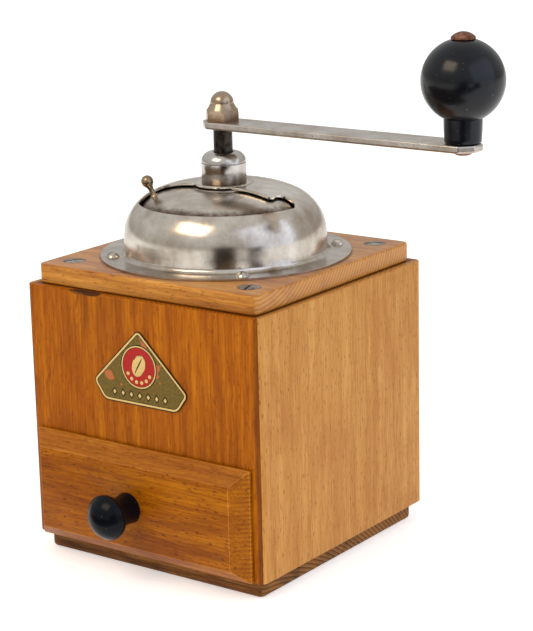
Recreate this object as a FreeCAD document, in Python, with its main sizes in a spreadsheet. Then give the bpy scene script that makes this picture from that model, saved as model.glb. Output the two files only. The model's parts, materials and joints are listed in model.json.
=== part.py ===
import FreeCAD, Part
import math
import os
import re
import Sketcher

# A wooden box coffee mill: a mitred case with a drawer, a pressed dome with a turning shutter,
# and a crank on a spindle that carries a toothed cone inside a toothed ring.
# Millimetres. +Z is up, -Y is the front with the drawer, and the origin is the middle of the underside.

doc = FreeCAD.newDocument("coffee_mill")
sheet = doc.addObject("Spreadsheet::Sheet", "Sizes")

SIZES = {
    # wooden case
    "case_width": 120.0, "case_tall": 109.6, "wall": 10.0, "corner_round": 3.0,
    "base_thick": 7.7, "base_inset": 3.5, "base_round": 1.8,
    "lid_thick": 8.3, "lid_inset": 3.67, "lid_round": 1.0,
    "block_side": 12.0, "block_foot": 55.0,
    # drawer
    "mouth_width": 100.0, "mouth_top": 51.5,
    "drawer_gap": 0.5, "drawer_lift": 0.3, "drawer_top": 50.5, "drawer_end": 46.0,
    "front_width": 110.6, "front_top": 55.5, "front_edge": 1.5, "front_proud": 8.0,
    "front_bevel": 6.0, "tongue": 6.0, "seat_gap": 0.3,
    "drawer_wall": 6.0, "drawer_floor": 4.0,
    "pull_off": -2.5, "pull_level": 31.0, "pull_bore": 1.6, "pull_bore_deep": 12.0,
    "pull_neck": 6.65, "pull_waist": 6.15, "pull_waist_at": 5.0, "pull_root": 6.75, "pull_root_at": 10.5,
    "pull_head": 9.4, "pull_lip": 8.8, "pull_lip_at": 11.6, "pull_edge_at": 13.4,
    "pull_face": 8.2, "pull_face_at": 16.6, "pull_reach": 19.6,
    "pull_screw_head": 3.4, "pull_screw_rim": 0.8, "pull_screw_tall": 2.2, "pull_screw_shank": 1.55,
    "pull_screw_long": 26.0,
    # top opening and its lid screws
    "hopper_bore": 38.0, "lid_screw_at": 45.5, "lid_screw_head": 4.25, "lid_screw_shank": 2.0,
    "lid_bore": 2.05, "block_bore_deep": 23.0,
    "base_screw_side": 51.8, "base_screw_along": 38.0, "base_screw_bore": 1.55, "base_screw_sink": 1.3,
    "base_bore_deep": 20.0, "pilot_rad": 1.65, "pilot_deep": 7.0, "under_pilot_deep": 5.0,
    # dome
    "flange_rim": 53.25, "sheet_thick": 0.9, "flange_crease": 2.0, "wall_lean": 2.0,
    "shoulder_off": 23.26, "shoulder_level": 133.78, "shoulder_bend": 19.67,
    "blend": 65.31, "crown_bend": 44.43,
    "seat_level": 156.1, "seat_rim": 12.3, "dome_bore": 7.05,
    "root_flare": 0.3, "seat_bend": 0.4, "seat_drop": 0.35, "mouth_rim": 36.3,
    "dome_screw_at": 34.0, "dome_screw_head": 2.9, "dome_screw_bore": 1.8,
    # shutter
    "shutter_gap": 0.8, "shutter_thick": 0.8, "shutter_rim": 38.8, "shutter_hub": 11.8,
    "shutter_bore": 7.9, "leaf_right": 12.0, "leaf_left": 27.0, "leaf_clear": 60.0,
    "stud_turn": -142.0, "stud_ring": 29.6, "stud_foot": 1.9, "stud_root": 1.25, "stud_root_at": 1.2,
    "stud_waist": 1.1, "stud_waist_at": 3.0, "stud_neck": 1.66, "stud_neck_at": 4.9, "stud_ball": 2.6,
    # bearing and spindle
    "spindle_rad": 4.0, "run_clear": 0.06, "cap_rad": 9.5, "cap_top": 169.0, "cap_bend": 4.4,
    "tube_rad": 6.95, "tube_clear": 0.05, "tube_top": 165.5, "bush_rad": 5.5, "bush_long": 16.0,
    "bar_thick": 4.0, "bar_wide": 11.0, "bar_reach": 37.2, "bar_screw_at": 34.5, "bar_screw_bore": 1.6,
    "root_rad": 9.5, "root_tall": 8.0, "pivot_rad": 10.0, "pivot_tall": 3.6, "pivot_clear": 0.2,
    "spacer_rad": 7.6,
    # crank
    "arm_level": 179.0, "arm_thick": 3.0, "arm_wide": 16.0, "arm_tail": 8.2, "arm_tip": 7.2,
    "arm_clip": 5.0, "arm_corner": 1.5, "arm_edge": 0.8, "crank_reach": 116.0,
    "square": 5.6, "square_fit": 0.03, "thread_rad": 2.6, "thread_long": 8.0,
    "nut_flats": 13.0, "nut_base": 4.8, "nut_top": 194.2, "nut_turn": 12.0, "nut_nose": 4.9,
    "nut_waist": 5.3, "nut_waist_at": 1.7, "nut_step": 1.2, "nut_thread": 2.65, "nut_deep": 8.6,
    "ball_level": 206.2, "ball_rad": 16.4, "neck_rad": 7.6, "neck_ease": 0.6, "grip_clear": 0.25,
    "pin_rad": 3.0, "pin_head": 4.8, "pin_rim": 0.7, "pin_crown": 2.1, "pin_tail": 1.6,
    # grinding set
    "housing_rim": 50.0, "housing_flange": 3.5, "housing_mouth": 31.5, "housing_screw_at": 44.5,
    "throat_rad": 18.4, "throat_level": 100.4, "barrel_rad": 28.5, "barrel_bore": 21.0,
    "barrel_foot": 82.0, "barrel_seat": 98.2, "ring_rim": 28.2, "ring_flange": 3.0,
    "coarse_ribs": 9, "coarse_deep": 1.6, "fine_teeth": 36, "fine_deep": 0.9,
    "ring_ribs": 12, "ring_deep": 1.4, "ring_fine_deep": 0.8, "hub_rad": 6.4, "hub_tall": 4.0,
    "cone_pin_rad": 1.2, "cone_pin_half": 6.3, "cone_pin_up": 2.0, "cone_pin_bore": 1.25,
    "waist_level": 86.0, "cone_waist": 13.0, "cone_top": 100.0, "cone_foot": 79.5,
    "cone_nose": 7.5, "flare": 0.554, "burr_gap": 0.5, "strap_screw_at": 24.6,
    "strap_thick": 3.0, "strap_wide": 12.0, "strap_leg": 18.0, "strap_level": 60.0,
    "strap_screw_bore": 1.8, "strap_bore_deep": 10.0,
    "bar_deep": 4.0, "boss_rad": 10.0, "boss_tall": 7.5, "boss_drop": 1.5,
    "spring_screw_at": 17.0, "spring_bore": 1.3, "spring_thick": 0.5, "spring_wide": 6.0, "spring_foot": 8.0,
    "wheel_rad": 13.0, "wheel_level": 53.2, "wheel_thick": 4.0, "shank_rad": 6.0,
    "notch_rad": 1.5, "notch_off": 0.6, "notch_count": 16,
    "shank_top": 75.5, "cup_floor": 70.0, "spindle_foot": 74.0,
    # badge
    "badge_half": 23.7, "badge_tip": 105.0, "badge_shoulder": 81.2, "badge_low": 73.2,
    "badge_slant": 5.4, "badge_thick": 0.6, "badge_round": 1.5,
}

for row, (alias, value) in enumerate(SIZES.items(), 1):
    sheet.set("A%d" % row, alias)
    sheet.set("B%d" % row, str(value))
    sheet.setAlias("B%d" % row, alias)
doc.recompute()

# long enough to pass right through any wall, lid or bridge
THROUGH = "40"


# ---------------------------------------------------------------- helpers

def bound(text):
    """An expression over the sheet's aliases, as another object must spell it."""
    return re.sub(r"\b([a-z][a-z_]+)\b(?!\()", r"Sizes.\1", str(text))


def number(text):
    """The present value of such an expression."""
    return float(sheet.evalExpression(bound(text)))


def bind(thing, **sizes):
    for name, text in sizes.items():
        thing.setExpression(name, bound(text))
    return thing


def place(thing, x="0", y="0", z="0"):
    """Puts an object at a place that follows the sheet."""
    thing.Placement.Base = FreeCAD.Vector(number(x), number(y), number(z))
    thing.setExpression(".Placement.Base.x", bound(x))
    thing.setExpression(".Placement.Base.y", bound(y))
    thing.setExpression(".Placement.Base.z", bound(z))
    return thing


def new_body(name):
    body = doc.addObject("PartDesign::Body", name)
    body.Label = name
    return body


def arc_middle(start, end, radius, turn):
    """The middle of the shorter arc from start to end; turn is 1 for anticlockwise, -1 for clockwise."""
    chord = end - start
    half = chord.Length / 2
    left = FreeCAD.Vector(-chord.y, chord.x, 0).normalize()
    rise = math.sqrt(max(radius * radius - half * half, 0))
    return (start + end) / 2 - left * turn * (radius - rise)


def cap_bend(reach, rise):
    """The radius of a round cap that stands on the axis, from its half width and its height."""
    return "((%s)^2 + (%s)^2) / (2 * (%s))" % (reach, rise, rise)


def pin_corner(sketch, geometry, end, x, y):
    """Holds one end of a line or arc at sheet expressions x and y."""
    for kind, axis, text in (("DistanceX", -2, x), ("DistanceY", -1, y)):
        if str(text) == "0":
            sketch.addConstraint(Sketcher.Constraint("PointOnObject", geometry, end, axis))
        else:
            index = sketch.addConstraint(Sketcher.Constraint(kind, -1, 1, geometry, end, number(text)))
            sketch.setExpression("Constraints[%d]" % index, bound(text))


def start_sketch(body, name, plane, level):
    sketch = body.newObject("Sketcher::SketchObject", name)
    planes = {feature.Role: feature for feature in body.Origin.OriginFeatures}
    sketch.AttachmentSupport = (planes[plane], [""])
    sketch.MapMode = "FlatFace"
    sketch.AttachmentOffset = FreeCAD.Placement(FreeCAD.Vector(0, 0, number(level)), FreeCAD.Rotation())
    if str(level) != "0":
        sketch.setExpression(".AttachmentOffset.Base.z", bound(level))
    return sketch


def outline(body, name, plane, stops, level="0"):
    """A closed outline. A stop is (x, y) for a line to it, or (x, y, radius, turn) for an arc to it."""
    sketch = start_sketch(body, name, plane, level)
    corners = [FreeCAD.Vector(number(stop[0]), number(stop[1]), 0) for stop in stops]
    ends = []
    for index, stop in enumerate(stops):
        start = corners[index - 1]
        end = corners[index]
        if len(stop) == 2:
            geometry = sketch.addGeometry(Part.LineSegment(start, end))
            ends.append((geometry, 1, 2))
            continue
        radius = number(stop[2])
        middle = arc_middle(start, end, radius, stop[3])
        geometry = sketch.addGeometry(Part.Arc(start, middle, end))
        forward = (sketch.getPoint(geometry, 1) - start).Length < 1e-6
        ends.append((geometry, 1, 2) if forward else (geometry, 2, 1))
    for index, stop in enumerate(stops):
        geometry, first, last = ends[index]
        following = ends[(index + 1) % len(stops)]
        sketch.addConstraint(Sketcher.Constraint("Coincident", geometry, last, following[0], following[1]))
    for index, stop in enumerate(stops):
        geometry, first, last = ends[index]
        pin_corner(sketch, geometry, last, stop[0], stop[1])
        if len(stop) == 4:
            held = sketch.addConstraint(Sketcher.Constraint("Radius", geometry, number(stop[2])))
            sketch.setExpression("Constraints[%d]" % held, bound(stop[2]))
    return sketch


def circles(body, name, plane, spots, radius, level="0"):
    """A sketch of equal circles centred at the given (x, y) expressions."""
    sketch = start_sketch(body, name, plane, level)
    for x, y in spots:
        centre = FreeCAD.Vector(number(x), number(y), 0)
        geometry = sketch.addGeometry(Part.Circle(centre, FreeCAD.Vector(0, 0, 1), number(radius)))
        pin_corner(sketch, geometry, 3, x, y)
        held = sketch.addConstraint(Sketcher.Constraint("Radius", geometry, number(radius)))
        sketch.setExpression("Constraints[%d]" % held, bound(radius))
    return sketch


def pad(body, sketch, length, reverse=False):
    feature = body.newObject("PartDesign::Pad", sketch.Name + "_pad")
    feature.Profile = sketch
    feature.Reversed = reverse
    bind(feature, Length=length)
    doc.recompute()
    return feature


def pocket(body, sketch, length, reverse=False):
    """A cut that must take something away: a pocket facing the wrong way fails here."""
    before = body.Shape.Volume
    feature = body.newObject("PartDesign::Pocket", sketch.Name + "_pocket")
    feature.Profile = sketch
    feature.Reversed = reverse
    bind(feature, Length=length)
    doc.recompute()
    if body.Shape.Volume > before - 0.01:
        raise ValueError("pocket cuts nothing: " + sketch.Name)
    return feature


def turned(name, stops):
    """A body of revolution about +Z from an outline of (radius, height)."""
    body = new_body(name)
    sketch = outline(body, name + "_profile", "XZ_Plane", stops)
    feature = body.newObject("PartDesign::Revolution", name + "_turned")
    feature.Profile = sketch
    feature.ReferenceAxis = (sketch, ["V_Axis"])
    feature.Angle = 360
    doc.recompute()
    return body


def dress(body, kind, size, test):
    """Rounds or chamfers the edges of the body's tip that pass the test."""
    tip = body.Tip
    names = ["Edge%d" % (i + 1) for i, edge in enumerate(tip.Shape.Edges) if test(edge)]
    if not names:
        raise ValueError("no edges to dress: " + body.Name)
    feature = body.newObject("PartDesign::" + kind, body.Name + "_" + kind.lower())
    feature.Base = (tip, names)
    bind(feature, **{"Radius" if kind == "Fillet" else "Size": size})
    doc.recompute()
    return feature


def is_level(edge, z):
    box = edge.BoundBox
    return abs(box.ZMin - z) < 1e-4 and abs(box.ZMax - z) < 1e-4


def is_upright(edge):
    box = edge.BoundBox
    return box.XLength < 1e-4 and box.YLength < 1e-4


def is_rim(edge, radius, z):
    round_edge = is_level(edge, z) and isinstance(edge.Curve, Part.Circle)
    return round_edge and abs(edge.Curve.Radius - radius) < 1e-4


def slab(name, x, y, z, length, width, height):
    """A plain rectangular piece from its low corner."""
    box = doc.addObject("Part::Box", name)
    bind(box, Length=length, Width=width, Height=height)
    return place(box, x, y, z)


def rod(name, radius, height, x="0", y="0", z="0"):
    cylinder = doc.addObject("Part::Cylinder", name)
    bind(cylinder, Radius=radius, Height=height)
    return place(cylinder, x, y, z)


def fuse(name, pieces):
    joined = doc.addObject("Part::MultiFuse", name)
    joined.Shapes = pieces
    joined.Refine = True
    return joined


def cut(name, base, tool):
    """The base less the tool; the result carries the sub-part's name."""
    result = doc.addObject("Part::Cut", name)
    result.Base = base
    result.Tool = tool
    result.Refine = True
    return result


def carried(name, shape):
    """A shape made with Part's own functions."""
    feature = doc.addObject("Part::Feature", name)
    feature.Shape = shape
    feature.Placement = FreeCAD.Placement()
    return feature


def corners_of(half):
    """The four diagonal places at the given distance from both mid-planes."""
    return [(a + half, b + half) for a in ("", "-") for b in ("", "-")]


# ---------------------------------------------------------------- wooden case

LID_FOOT = "base_thick + case_tall"
LID_TOP = "base_thick + case_tall + lid_thick"


def board(name, half, thick, level):
    """A square board lying flat, rounded at its upright edges."""
    body = new_body(name)
    stops = [(half, half), ("-(%s)" % half, half), ("-(%s)" % half, "-(%s)" % half), (half, "-(%s)" % half)]
    pad(body, outline(body, name + "_plan", "XY_Plane", stops, level), thick)
    dress(body, "Fillet", "corner_round", is_upright)
    return body


def make_base_board():
    body = board("base_board", "case_width / 2 - base_inset", "base_thick", "0")
    spots = [(a + "base_screw_side", b + "base_screw_along") for a in ("", "-") for b in ("", "-")]
    holes = circles(body, "base_holes", "XY_Plane", spots, "base_screw_bore")
    pocket(body, holes, "base_thick", reverse=True)
    dress(body, "Chamfer", "base_screw_sink", lambda edge: is_rim(edge, number("base_screw_bore"), 0))
    dress(body, "Fillet", "base_round", lambda edge: is_level(edge, 0) and not edge.isClosed())


def make_top_board():
    body = board("top_board", "case_width / 2 - lid_inset", "lid_thick", LID_FOOT)
    pocket(body, circles(body, "hopper_hole", "XY_Plane", [("0", "0")], "hopper_bore", LID_TOP), "lid_thick")
    holes = circles(body, "lid_holes", "XY_Plane", corners_of("lid_screw_at"), "lid_bore", LID_TOP)
    pocket(body, holes, "lid_thick")
    top = number(LID_TOP)
    dress(body, "Chamfer", "lid_screw_head - lid_screw_shank", lambda e: is_rim(e, number("lid_bore"), top))
    pilots = circles(body, "dome_pilots", "XY_Plane", corners_of("dome_screw_at"), "pilot_rad", LID_TOP)
    pocket(body, pilots, "pilot_deep")
    under = circles(body, "housing_pilots", "XY_Plane", housing_spots(), "pilot_rad", LID_FOOT)
    pocket(body, under, "under_pilot_deep", reverse=True)
    foot = number(LID_FOOT)
    dress(body, "Fillet", "lid_round", lambda e: (is_level(e, top) or is_level(e, foot)) and not e.isClosed())


def panel(name, angle):
    """One wall with mitred ends, drawn as the front wall and turned about the case's middle."""
    body = new_body(name)
    outer = "case_width / 2"
    inner = "case_width / 2 - wall"
    straight = "case_width / 2 - corner_round"
    mitre = "case_width / 2 - corner_round * (1 - cos(45))"
    stops = [
        ("-(%s)" % mitre, "-(%s)" % mitre),
        ("-(%s)" % straight, "-(%s)" % outer, "corner_round", 1),
        (straight, "-(%s)" % outer),
        (mitre, "-(%s)" % mitre, "corner_round", 1),
        (inner, "-(%s)" % inner),
        ("-(%s)" % inner, "-(%s)" % inner),
    ]
    pad(body, outline(body, name + "_plan", "XY_Plane", stops, "base_thick"), "case_tall")
    if name == "front_panel":
        half = "mouth_width / 2"
        mouth = [(half, "0"), (half, "mouth_top"), ("-" + half, "mouth_top"), ("-" + half, "0")]
        sketch = outline(body, "drawer_mouth", "XZ_Plane", mouth)
        pocket(body, sketch, "case_width", reverse=True)
    if name in ("left_panel", "right_panel"):
        spots = [(a + "base_screw_along", "-base_screw_side") for a in ("", "-")]
        pilots = circles(body, name + "_pilots", "XY_Plane", spots, "base_screw_bore", "base_thick")
        pocket(body, pilots, "base_bore_deep", reverse=True)
    body.Placement = FreeCAD.Placement(FreeCAD.Vector(), FreeCAD.Rotation(FreeCAD.Vector(0, 0, 1), angle))


def make_corner_blocks():
    """Glue blocks in the case's upper corners, which the lid's screws bite into."""
    inner = "case_width / 2 - wall"
    for side, left in (("left", True), ("right", False)):
        for end, front in (("front", True), ("back", False)):
            x = "-(%s)" % inner if left else inner + " - block_side"
            y = "-(%s)" % inner if front else inner + " - block_side"
            name = "corner_block_%s_%s" % (end, side)
            stock = slab(name + "_stock", x, y, "block_foot", "block_side", "block_side",
                         LID_FOOT + " - block_foot")
            hole_x = ("-" if left else "") + "lid_screw_at"
            hole_y = ("-" if front else "") + "lid_screw_at"
            pilot = rod(name + "_pilot", "lid_bore", "block_bore_deep + lid_thick", hole_x, hole_y,
                        LID_FOOT + " - block_bore_deep")
            cut(name, stock, pilot)


# ---------------------------------------------------------------- drawer

def make_drawer_front():
    """A raised board: a thin edge, a wide bevel up to the face, and a tongue that fits the mouth."""
    body = new_body("drawer_front")
    half = "front_width / 2"
    foot = "base_thick + drawer_lift"
    face = "case_width / 2 + seat_gap"
    raised = "front_width / 2 - front_bevel"
    inside = "mouth_width / 2 - drawer_gap"

    def rectangle(name, wide, low, high, level):
        stops = [(wide, low), (wide, high), ("-(%s)" % wide, high), ("-(%s)" % wide, low)]
        return outline(body, name, "XZ_Plane", stops, level)

    pad(body, rectangle("lip_plan", half, foot, "front_top", face), "front_edge")
    loft = body.newObject("PartDesign::AdditiveLoft", "front_bevelled")
    loft.Profile = rectangle("bevel_foot", half, foot, "front_top", face + " + front_edge")
    loft.Sections = [rectangle("bevel_face", raised, foot + " + front_bevel", "front_top - front_bevel",
                               face + " + front_proud")]
    loft.Ruled = True
    doc.recompute()
    pad(body, rectangle("tongue_plan", inside, foot, "drawer_top", face), "tongue", reverse=True)


def make_drawer_box():
    half = "mouth_width / 2 - drawer_gap"
    foot = "base_thick + drawer_lift"
    start = "-(case_width / 2 + seat_gap - tongue)"
    deep = "drawer_end + case_width / 2 + seat_gap - tongue"
    tall = "drawer_top - base_thick - drawer_lift"
    slab("drawer_left_side", "-(%s)" % half, start, foot, "drawer_wall", deep, tall)
    slab("drawer_right_side", half + " - drawer_wall", start, foot, "drawer_wall", deep, tall)
    between = "2 * (%s - drawer_wall)" % half
    inner = "-(%s - drawer_wall)" % half
    slab("drawer_back", inner, "drawer_end - drawer_wall", foot, between, "drawer_wall", tall)
    slab("drawer_bottom", inner, start, foot, between, deep + " - drawer_wall", "drawer_floor")


def make_drawer_pull():
    """A turned pull on the drawer's middle and the screw that holds it from inside."""
    stops = [
        ("pull_bore", "0"), ("pull_neck", "0"), ("pull_waist", "pull_waist_at"),
        ("pull_root", "pull_root_at", "30", -1), ("pull_lip", "pull_lip_at", "2.5", -1),
        ("pull_head", "pull_edge_at", "1.5", 1), ("pull_face", "pull_face_at", "3.4", 1),
        ("0", "pull_reach", cap_bend("pull_face", "pull_reach - pull_face_at"), 1),
        ("0", "pull_bore_deep"), ("pull_bore", "pull_bore_deep"),
    ]
    pull = turned("drawer_knob", stops)
    facing = FreeCAD.Rotation(FreeCAD.Vector(1, 0, 0), 90)
    pull.Placement = FreeCAD.Placement(FreeCAD.Vector(), facing)
    place(pull, "pull_off", "-(case_width / 2 + seat_gap + front_proud)", "pull_level")
    screw = [
        ("0", "0"), ("pull_screw_head", "0"), ("pull_screw_head", "pull_screw_rim"),
        ("pull_screw_head - 1", "pull_screw_tall", "1.9", 1), ("pull_screw_shank", "pull_screw_tall"),
        ("pull_screw_shank", "pull_screw_long"), ("0", "pull_screw_long"),
    ]
    held = turned("drawer_knob_screw", screw)
    held.Placement = FreeCAD.Placement(FreeCAD.Vector(), facing)
    place(held, "pull_off", "-(case_width / 2 + seat_gap - tongue) + pull_screw_tall", "pull_level")


def drill_drawer_front():
    body = doc.getObject("drawer_front")
    spot = [("pull_off", "pull_level")]
    level = "case_width / 2 + seat_gap + front_proud"
    pocket(body, circles(body, "pull_hole", "XZ_Plane", spot, "pull_bore", level), "front_proud + tongue")


# ---------------------------------------------------------------- dome and shutter

def sheet_profile(inset):
    """Places on the dome's section, moved inward from the outer skin by the inset."""
    return {
        "foot": ("shoulder_off + (shoulder_bend - %s) * cos(wall_lean)" % inset,
                 "shoulder_level + (shoulder_bend - %s) * sin(wall_lean)" % inset),
        "blend": ("shoulder_off + (shoulder_bend - %s) * cos(blend)" % inset,
                  "shoulder_level + (shoulder_bend - %s) * sin(blend)" % inset),
        "crown": ("shoulder_off - (crown_bend - shoulder_bend) * cos(blend)",
                  "shoulder_level - (crown_bend - shoulder_bend) * sin(blend) + crown_bend - %s" % inset),
    }


def make_dome():
    """One pressing: screw flange, leaning wall, shoulder, crown and a flat seat for the bearing cap."""
    skin = sheet_profile("0")
    lining = sheet_profile("sheet_thick")
    flange_top = LID_TOP + " + sheet_thick"
    crease = "flange_crease"
    stops = [
        ("flange_rim", LID_TOP), ("flange_rim", flange_top),
        (skin["foot"][0] + " + root_flare + " + crease, flange_top),
        (skin["foot"][0] + " + root_flare", flange_top + " + " + crease, crease, -1),
        skin["foot"],
        skin["blend"] + ("shoulder_bend", 1),
        skin["crown"] + ("crown_bend", 1),
        ("seat_rim", "seat_level - seat_drop"), ("seat_rim - seat_bend", "seat_level", "seat_bend", 1),
        ("dome_bore", "seat_level"), ("dome_bore", "seat_level - sheet_thick"),
        (lining["crown"][0], "seat_level - sheet_thick"), lining["crown"],
        lining["blend"] + ("crown_bend - sheet_thick", -1),
        lining["foot"] + ("shoulder_bend - sheet_thick", -1),
        (lining["foot"][0] + " + root_flare", LID_TOP),
    ]
    body = turned("dome", stops)
    # the mouth seen from above: its rim in front, a scooped thumb notch, and the ring left round the seat
    mouth = [
        ("-26.6", "-24.7"),
        ("mouth_rim * cos(4)", "-mouth_rim * sin(4)", "mouth_rim", 1),
        ("32.4", "2.2", "3.7", 1), ("28.3", "-2.6", "3.9", 1), ("26.4", "-6.2", "2.6", -1),
        ("9.4", "-8.2"), ("0", "-12.45", "12.45", -1), ("-9.3", "-8.4", "12.45", -1),
        ("-21.6", "-11.2"), ("-27.2", "-17.8", "6.2", 1),
    ]
    pocket(body, outline(body, "dome_mouth", "XY_Plane", mouth, "seat_level + sheet_thick"), "20")
    spots = corners_of("dome_screw_at")
    holes = circles(body, "dome_holes", "XY_Plane", spots, "dome_screw_bore", flange_top)
    pocket(body, holes, "sheet_thick")


def make_shutter():
    """A leaf of the same curve just under the dome, left over the mouth and cut away behind."""
    outer = "(sheet_thick + shutter_gap)"
    inner = "(sheet_thick + shutter_gap + shutter_thick)"
    top = sheet_profile(outer)
    low = sheet_profile(inner)
    hub_top = "seat_level - sheet_thick - shutter_gap"
    hub_foot = hub_top + " - shutter_thick"
    rim_angle = "acos((shutter_rim - shoulder_off) / (shoulder_bend - %s))"
    rim_high = "shoulder_level + (shoulder_bend - %s) * sin(%s)" % (outer, rim_angle % outer)
    rim_low = "shoulder_level + (shoulder_bend - %s) * sin(%s)" % (inner, rim_angle % inner)
    stops = [
        ("shutter_bore", hub_foot), (low["crown"][0], hub_foot), low["crown"],
        low["blend"] + ("crown_bend - " + inner, -1),
        ("shutter_rim", rim_low, "shoulder_bend - " + inner, -1),
        ("shutter_rim", rim_high), top["blend"] + ("shoulder_bend - " + outer, 1),
        top["crown"] + ("crown_bend - " + outer, 1), (top["crown"][0], hub_top), ("shutter_bore", hub_top),
    ]
    body = turned("shutter", stops)
    away = [
        ("shutter_hub * cos(leaf_right)", "shutter_hub * sin(leaf_right)"),
        ("leaf_clear", "leaf_clear * tan(leaf_right)"), ("leaf_clear", "leaf_clear"),
        ("-leaf_clear", "leaf_clear"), ("-leaf_clear", "-leaf_clear * tan(leaf_left)"),
        ("-shutter_hub * cos(leaf_left)", "-shutter_hub * sin(leaf_left)"),
        ("shutter_hub * cos(108)", "shutter_hub * sin(108)", "shutter_hub", -1),
    ]
    away.append(away.pop(0) + ("shutter_hub", -1))
    pocket(body, outline(body, "shutter_behind", "XY_Plane", away, "seat_level"), THROUGH)


def make_shutter_stud():
    """The little waisted grip that stands square on the leaf and pokes through the mouth."""
    middle = "stud_neck_at + sqrt(stud_ball^2 - stud_neck^2)"
    stops = [
        ("0", "0"), ("stud_foot", "0"), ("stud_root", "stud_root_at", "1.6", -1),
        ("stud_waist", "stud_waist_at"),
        ("stud_neck", "stud_neck_at", "4.2", -1), ("stud_ball", middle, "stud_ball", 1),
        ("0", middle + " + stud_ball", "stud_ball", 1),
    ]
    body = turned("shutter_knob", stops)
    depth = number("sheet_thick + shutter_gap")
    across = number("shoulder_off - (crown_bend - shoulder_bend) * cos(blend)")
    centre = number("shoulder_level - (crown_bend - shoulder_bend) * sin(blend)")
    lean = math.asin((number("stud_ring") - across) / (number("crown_bend") - depth))
    level = centre + (number("crown_bend") - depth) * math.cos(lean)
    around = FreeCAD.Rotation(FreeCAD.Vector(0, 0, 1), number("stud_turn"))
    tilt = FreeCAD.Rotation(FreeCAD.Vector(0, 1, 0), math.degrees(lean))
    spot = around.multVec(FreeCAD.Vector(number("stud_ring"), 0, level))
    body.Placement = FreeCAD.Placement(spot, around.multiply(tilt))


# ---------------------------------------------------------------- bearing and bridge

def make_bearing_cap():
    over_tube = "tube_rad + tube_clear"
    eye = "spindle_rad + 0.4"
    stops = [
        (over_tube, "seat_level"), ("cap_rad", "seat_level"), ("cap_rad", "cap_top - cap_bend"),
        ("cap_rad - cap_bend", "cap_top", "cap_bend", 1), (eye, "cap_top"),
        (eye, "tube_top + 2 * tube_clear"), (over_tube, "tube_top + 2 * tube_clear"),
    ]
    turned("bearing_cap", stops)


def make_bearing_bush():
    bore = "spindle_rad + run_clear"
    foot = "tube_top - bush_long"
    turned("bearing_bush", [(bore, foot), ("bush_rad", foot), ("bush_rad", "tube_top"), (bore, "tube_top")])


def make_upper_bridge():
    """A bar across the funnel's mouth with a tall bearing tube and the shoulder the shutter turns on."""
    hub_top = "seat_level - sheet_thick - shutter_gap - shutter_thick - pivot_clear"
    bar = slab("bridge_bar", "-bar_reach", "-bar_wide / 2", LID_FOOT, "2 * bar_reach", "bar_wide", "bar_thick")
    root = rod("bridge_root", "root_rad", "root_tall", z=LID_FOOT)
    tube = rod("bridge_tube", "tube_rad", "tube_top - (%s)" % LID_FOOT, z=LID_FOOT)
    shoulder = rod("bridge_shoulder", "pivot_rad", "pivot_tall", z=hub_top + " - pivot_tall")
    spacer = rod("bridge_spacer", "spacer_rad", "seat_level - sheet_thick - (%s)" % hub_top, z=hub_top)
    solid = fuse("bridge_solid", [bar, root, tube, shoulder, spacer])
    bore = rod("bridge_bore", "spindle_rad + 0.6", "tube_top", z="0")
    pocketed = rod("bridge_bush_bore", "bush_rad", THROUGH, z="tube_top - bush_long")
    holes = [rod("bridge_hole_%d" % i, "bar_screw_bore", "2 * bar_thick", x=side + "bar_screw_at",
                 z=LID_FOOT + " - bar_thick / 2") for i, side in enumerate(("", "-"))]
    cut("upper_bridge", solid, fuse("bridge_bores", [bore, pocketed] + holes))


# ---------------------------------------------------------------- grinding set

def housing_spots():
    reach = "housing_screw_at"
    return [(reach, "0"), ("0", reach), ("-" + reach, "0"), ("0", "-" + reach)]


def make_housing():
    """The cast funnel under the lid: flange, sloping mouth, and a barrel that holds the ring."""
    flange_foot = LID_FOOT + " - housing_flange"
    stops = [
        ("housing_mouth", LID_FOOT), ("housing_rim", LID_FOOT), ("housing_rim", flange_foot),
        ("housing_mouth + 5.5", flange_foot), ("barrel_rad + 2", "throat_level + 5.5"),
        ("barrel_rad", "throat_level + 1.5", "8", 1),
        ("barrel_rad", "barrel_foot"), ("barrel_bore", "barrel_foot"), ("barrel_bore", "barrel_seat"),
        ("throat_rad", "barrel_seat"), ("throat_rad", "throat_level"),
    ]
    body = turned("mill_housing", stops)
    around = circles(body, "housing_holes", "XY_Plane", housing_spots(), "strap_screw_bore", LID_FOOT)
    pocket(body, around, "housing_flange")
    bar_spots = [("bar_screw_at", "0"), ("-bar_screw_at", "0")]
    bar_holes = circles(body, "bar_holes", "XY_Plane", bar_spots, "bar_screw_bore", LID_FOOT)
    pocket(body, bar_holes, "housing_flange")
    strap_spots = [("strap_screw_at", "0"), ("-strap_screw_at", "0")]
    below = circles(body, "strap_holes", "XY_Plane", strap_spots, "bar_screw_bore", "barrel_foot")
    pocket(body, below, "strap_bore_deep", reverse=True)


def toothed_ring_wire(count, tip, root, level, turn):
    """A closed zigzag of teeth at one level; turn is in degrees."""
    points = []
    for tooth in range(count):
        for share, radius in ((0.0, tip), (0.35, root)):
            angle = math.radians(turn + 360.0 * (tooth + share) / count)
            points.append(FreeCAD.Vector(radius * math.cos(angle), radius * math.sin(angle), level))
    return Part.makePolygon(points + points[:1])


def toothed_solid(count, stages):
    """Ruled surfaces between zigzags: each stage is (level, tip radius, root radius, turn)."""
    wires = [toothed_ring_wire(count, tip, root, level, turn) for level, tip, root, turn in stages]
    return Part.makeLoft(wires, True, True)


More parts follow.
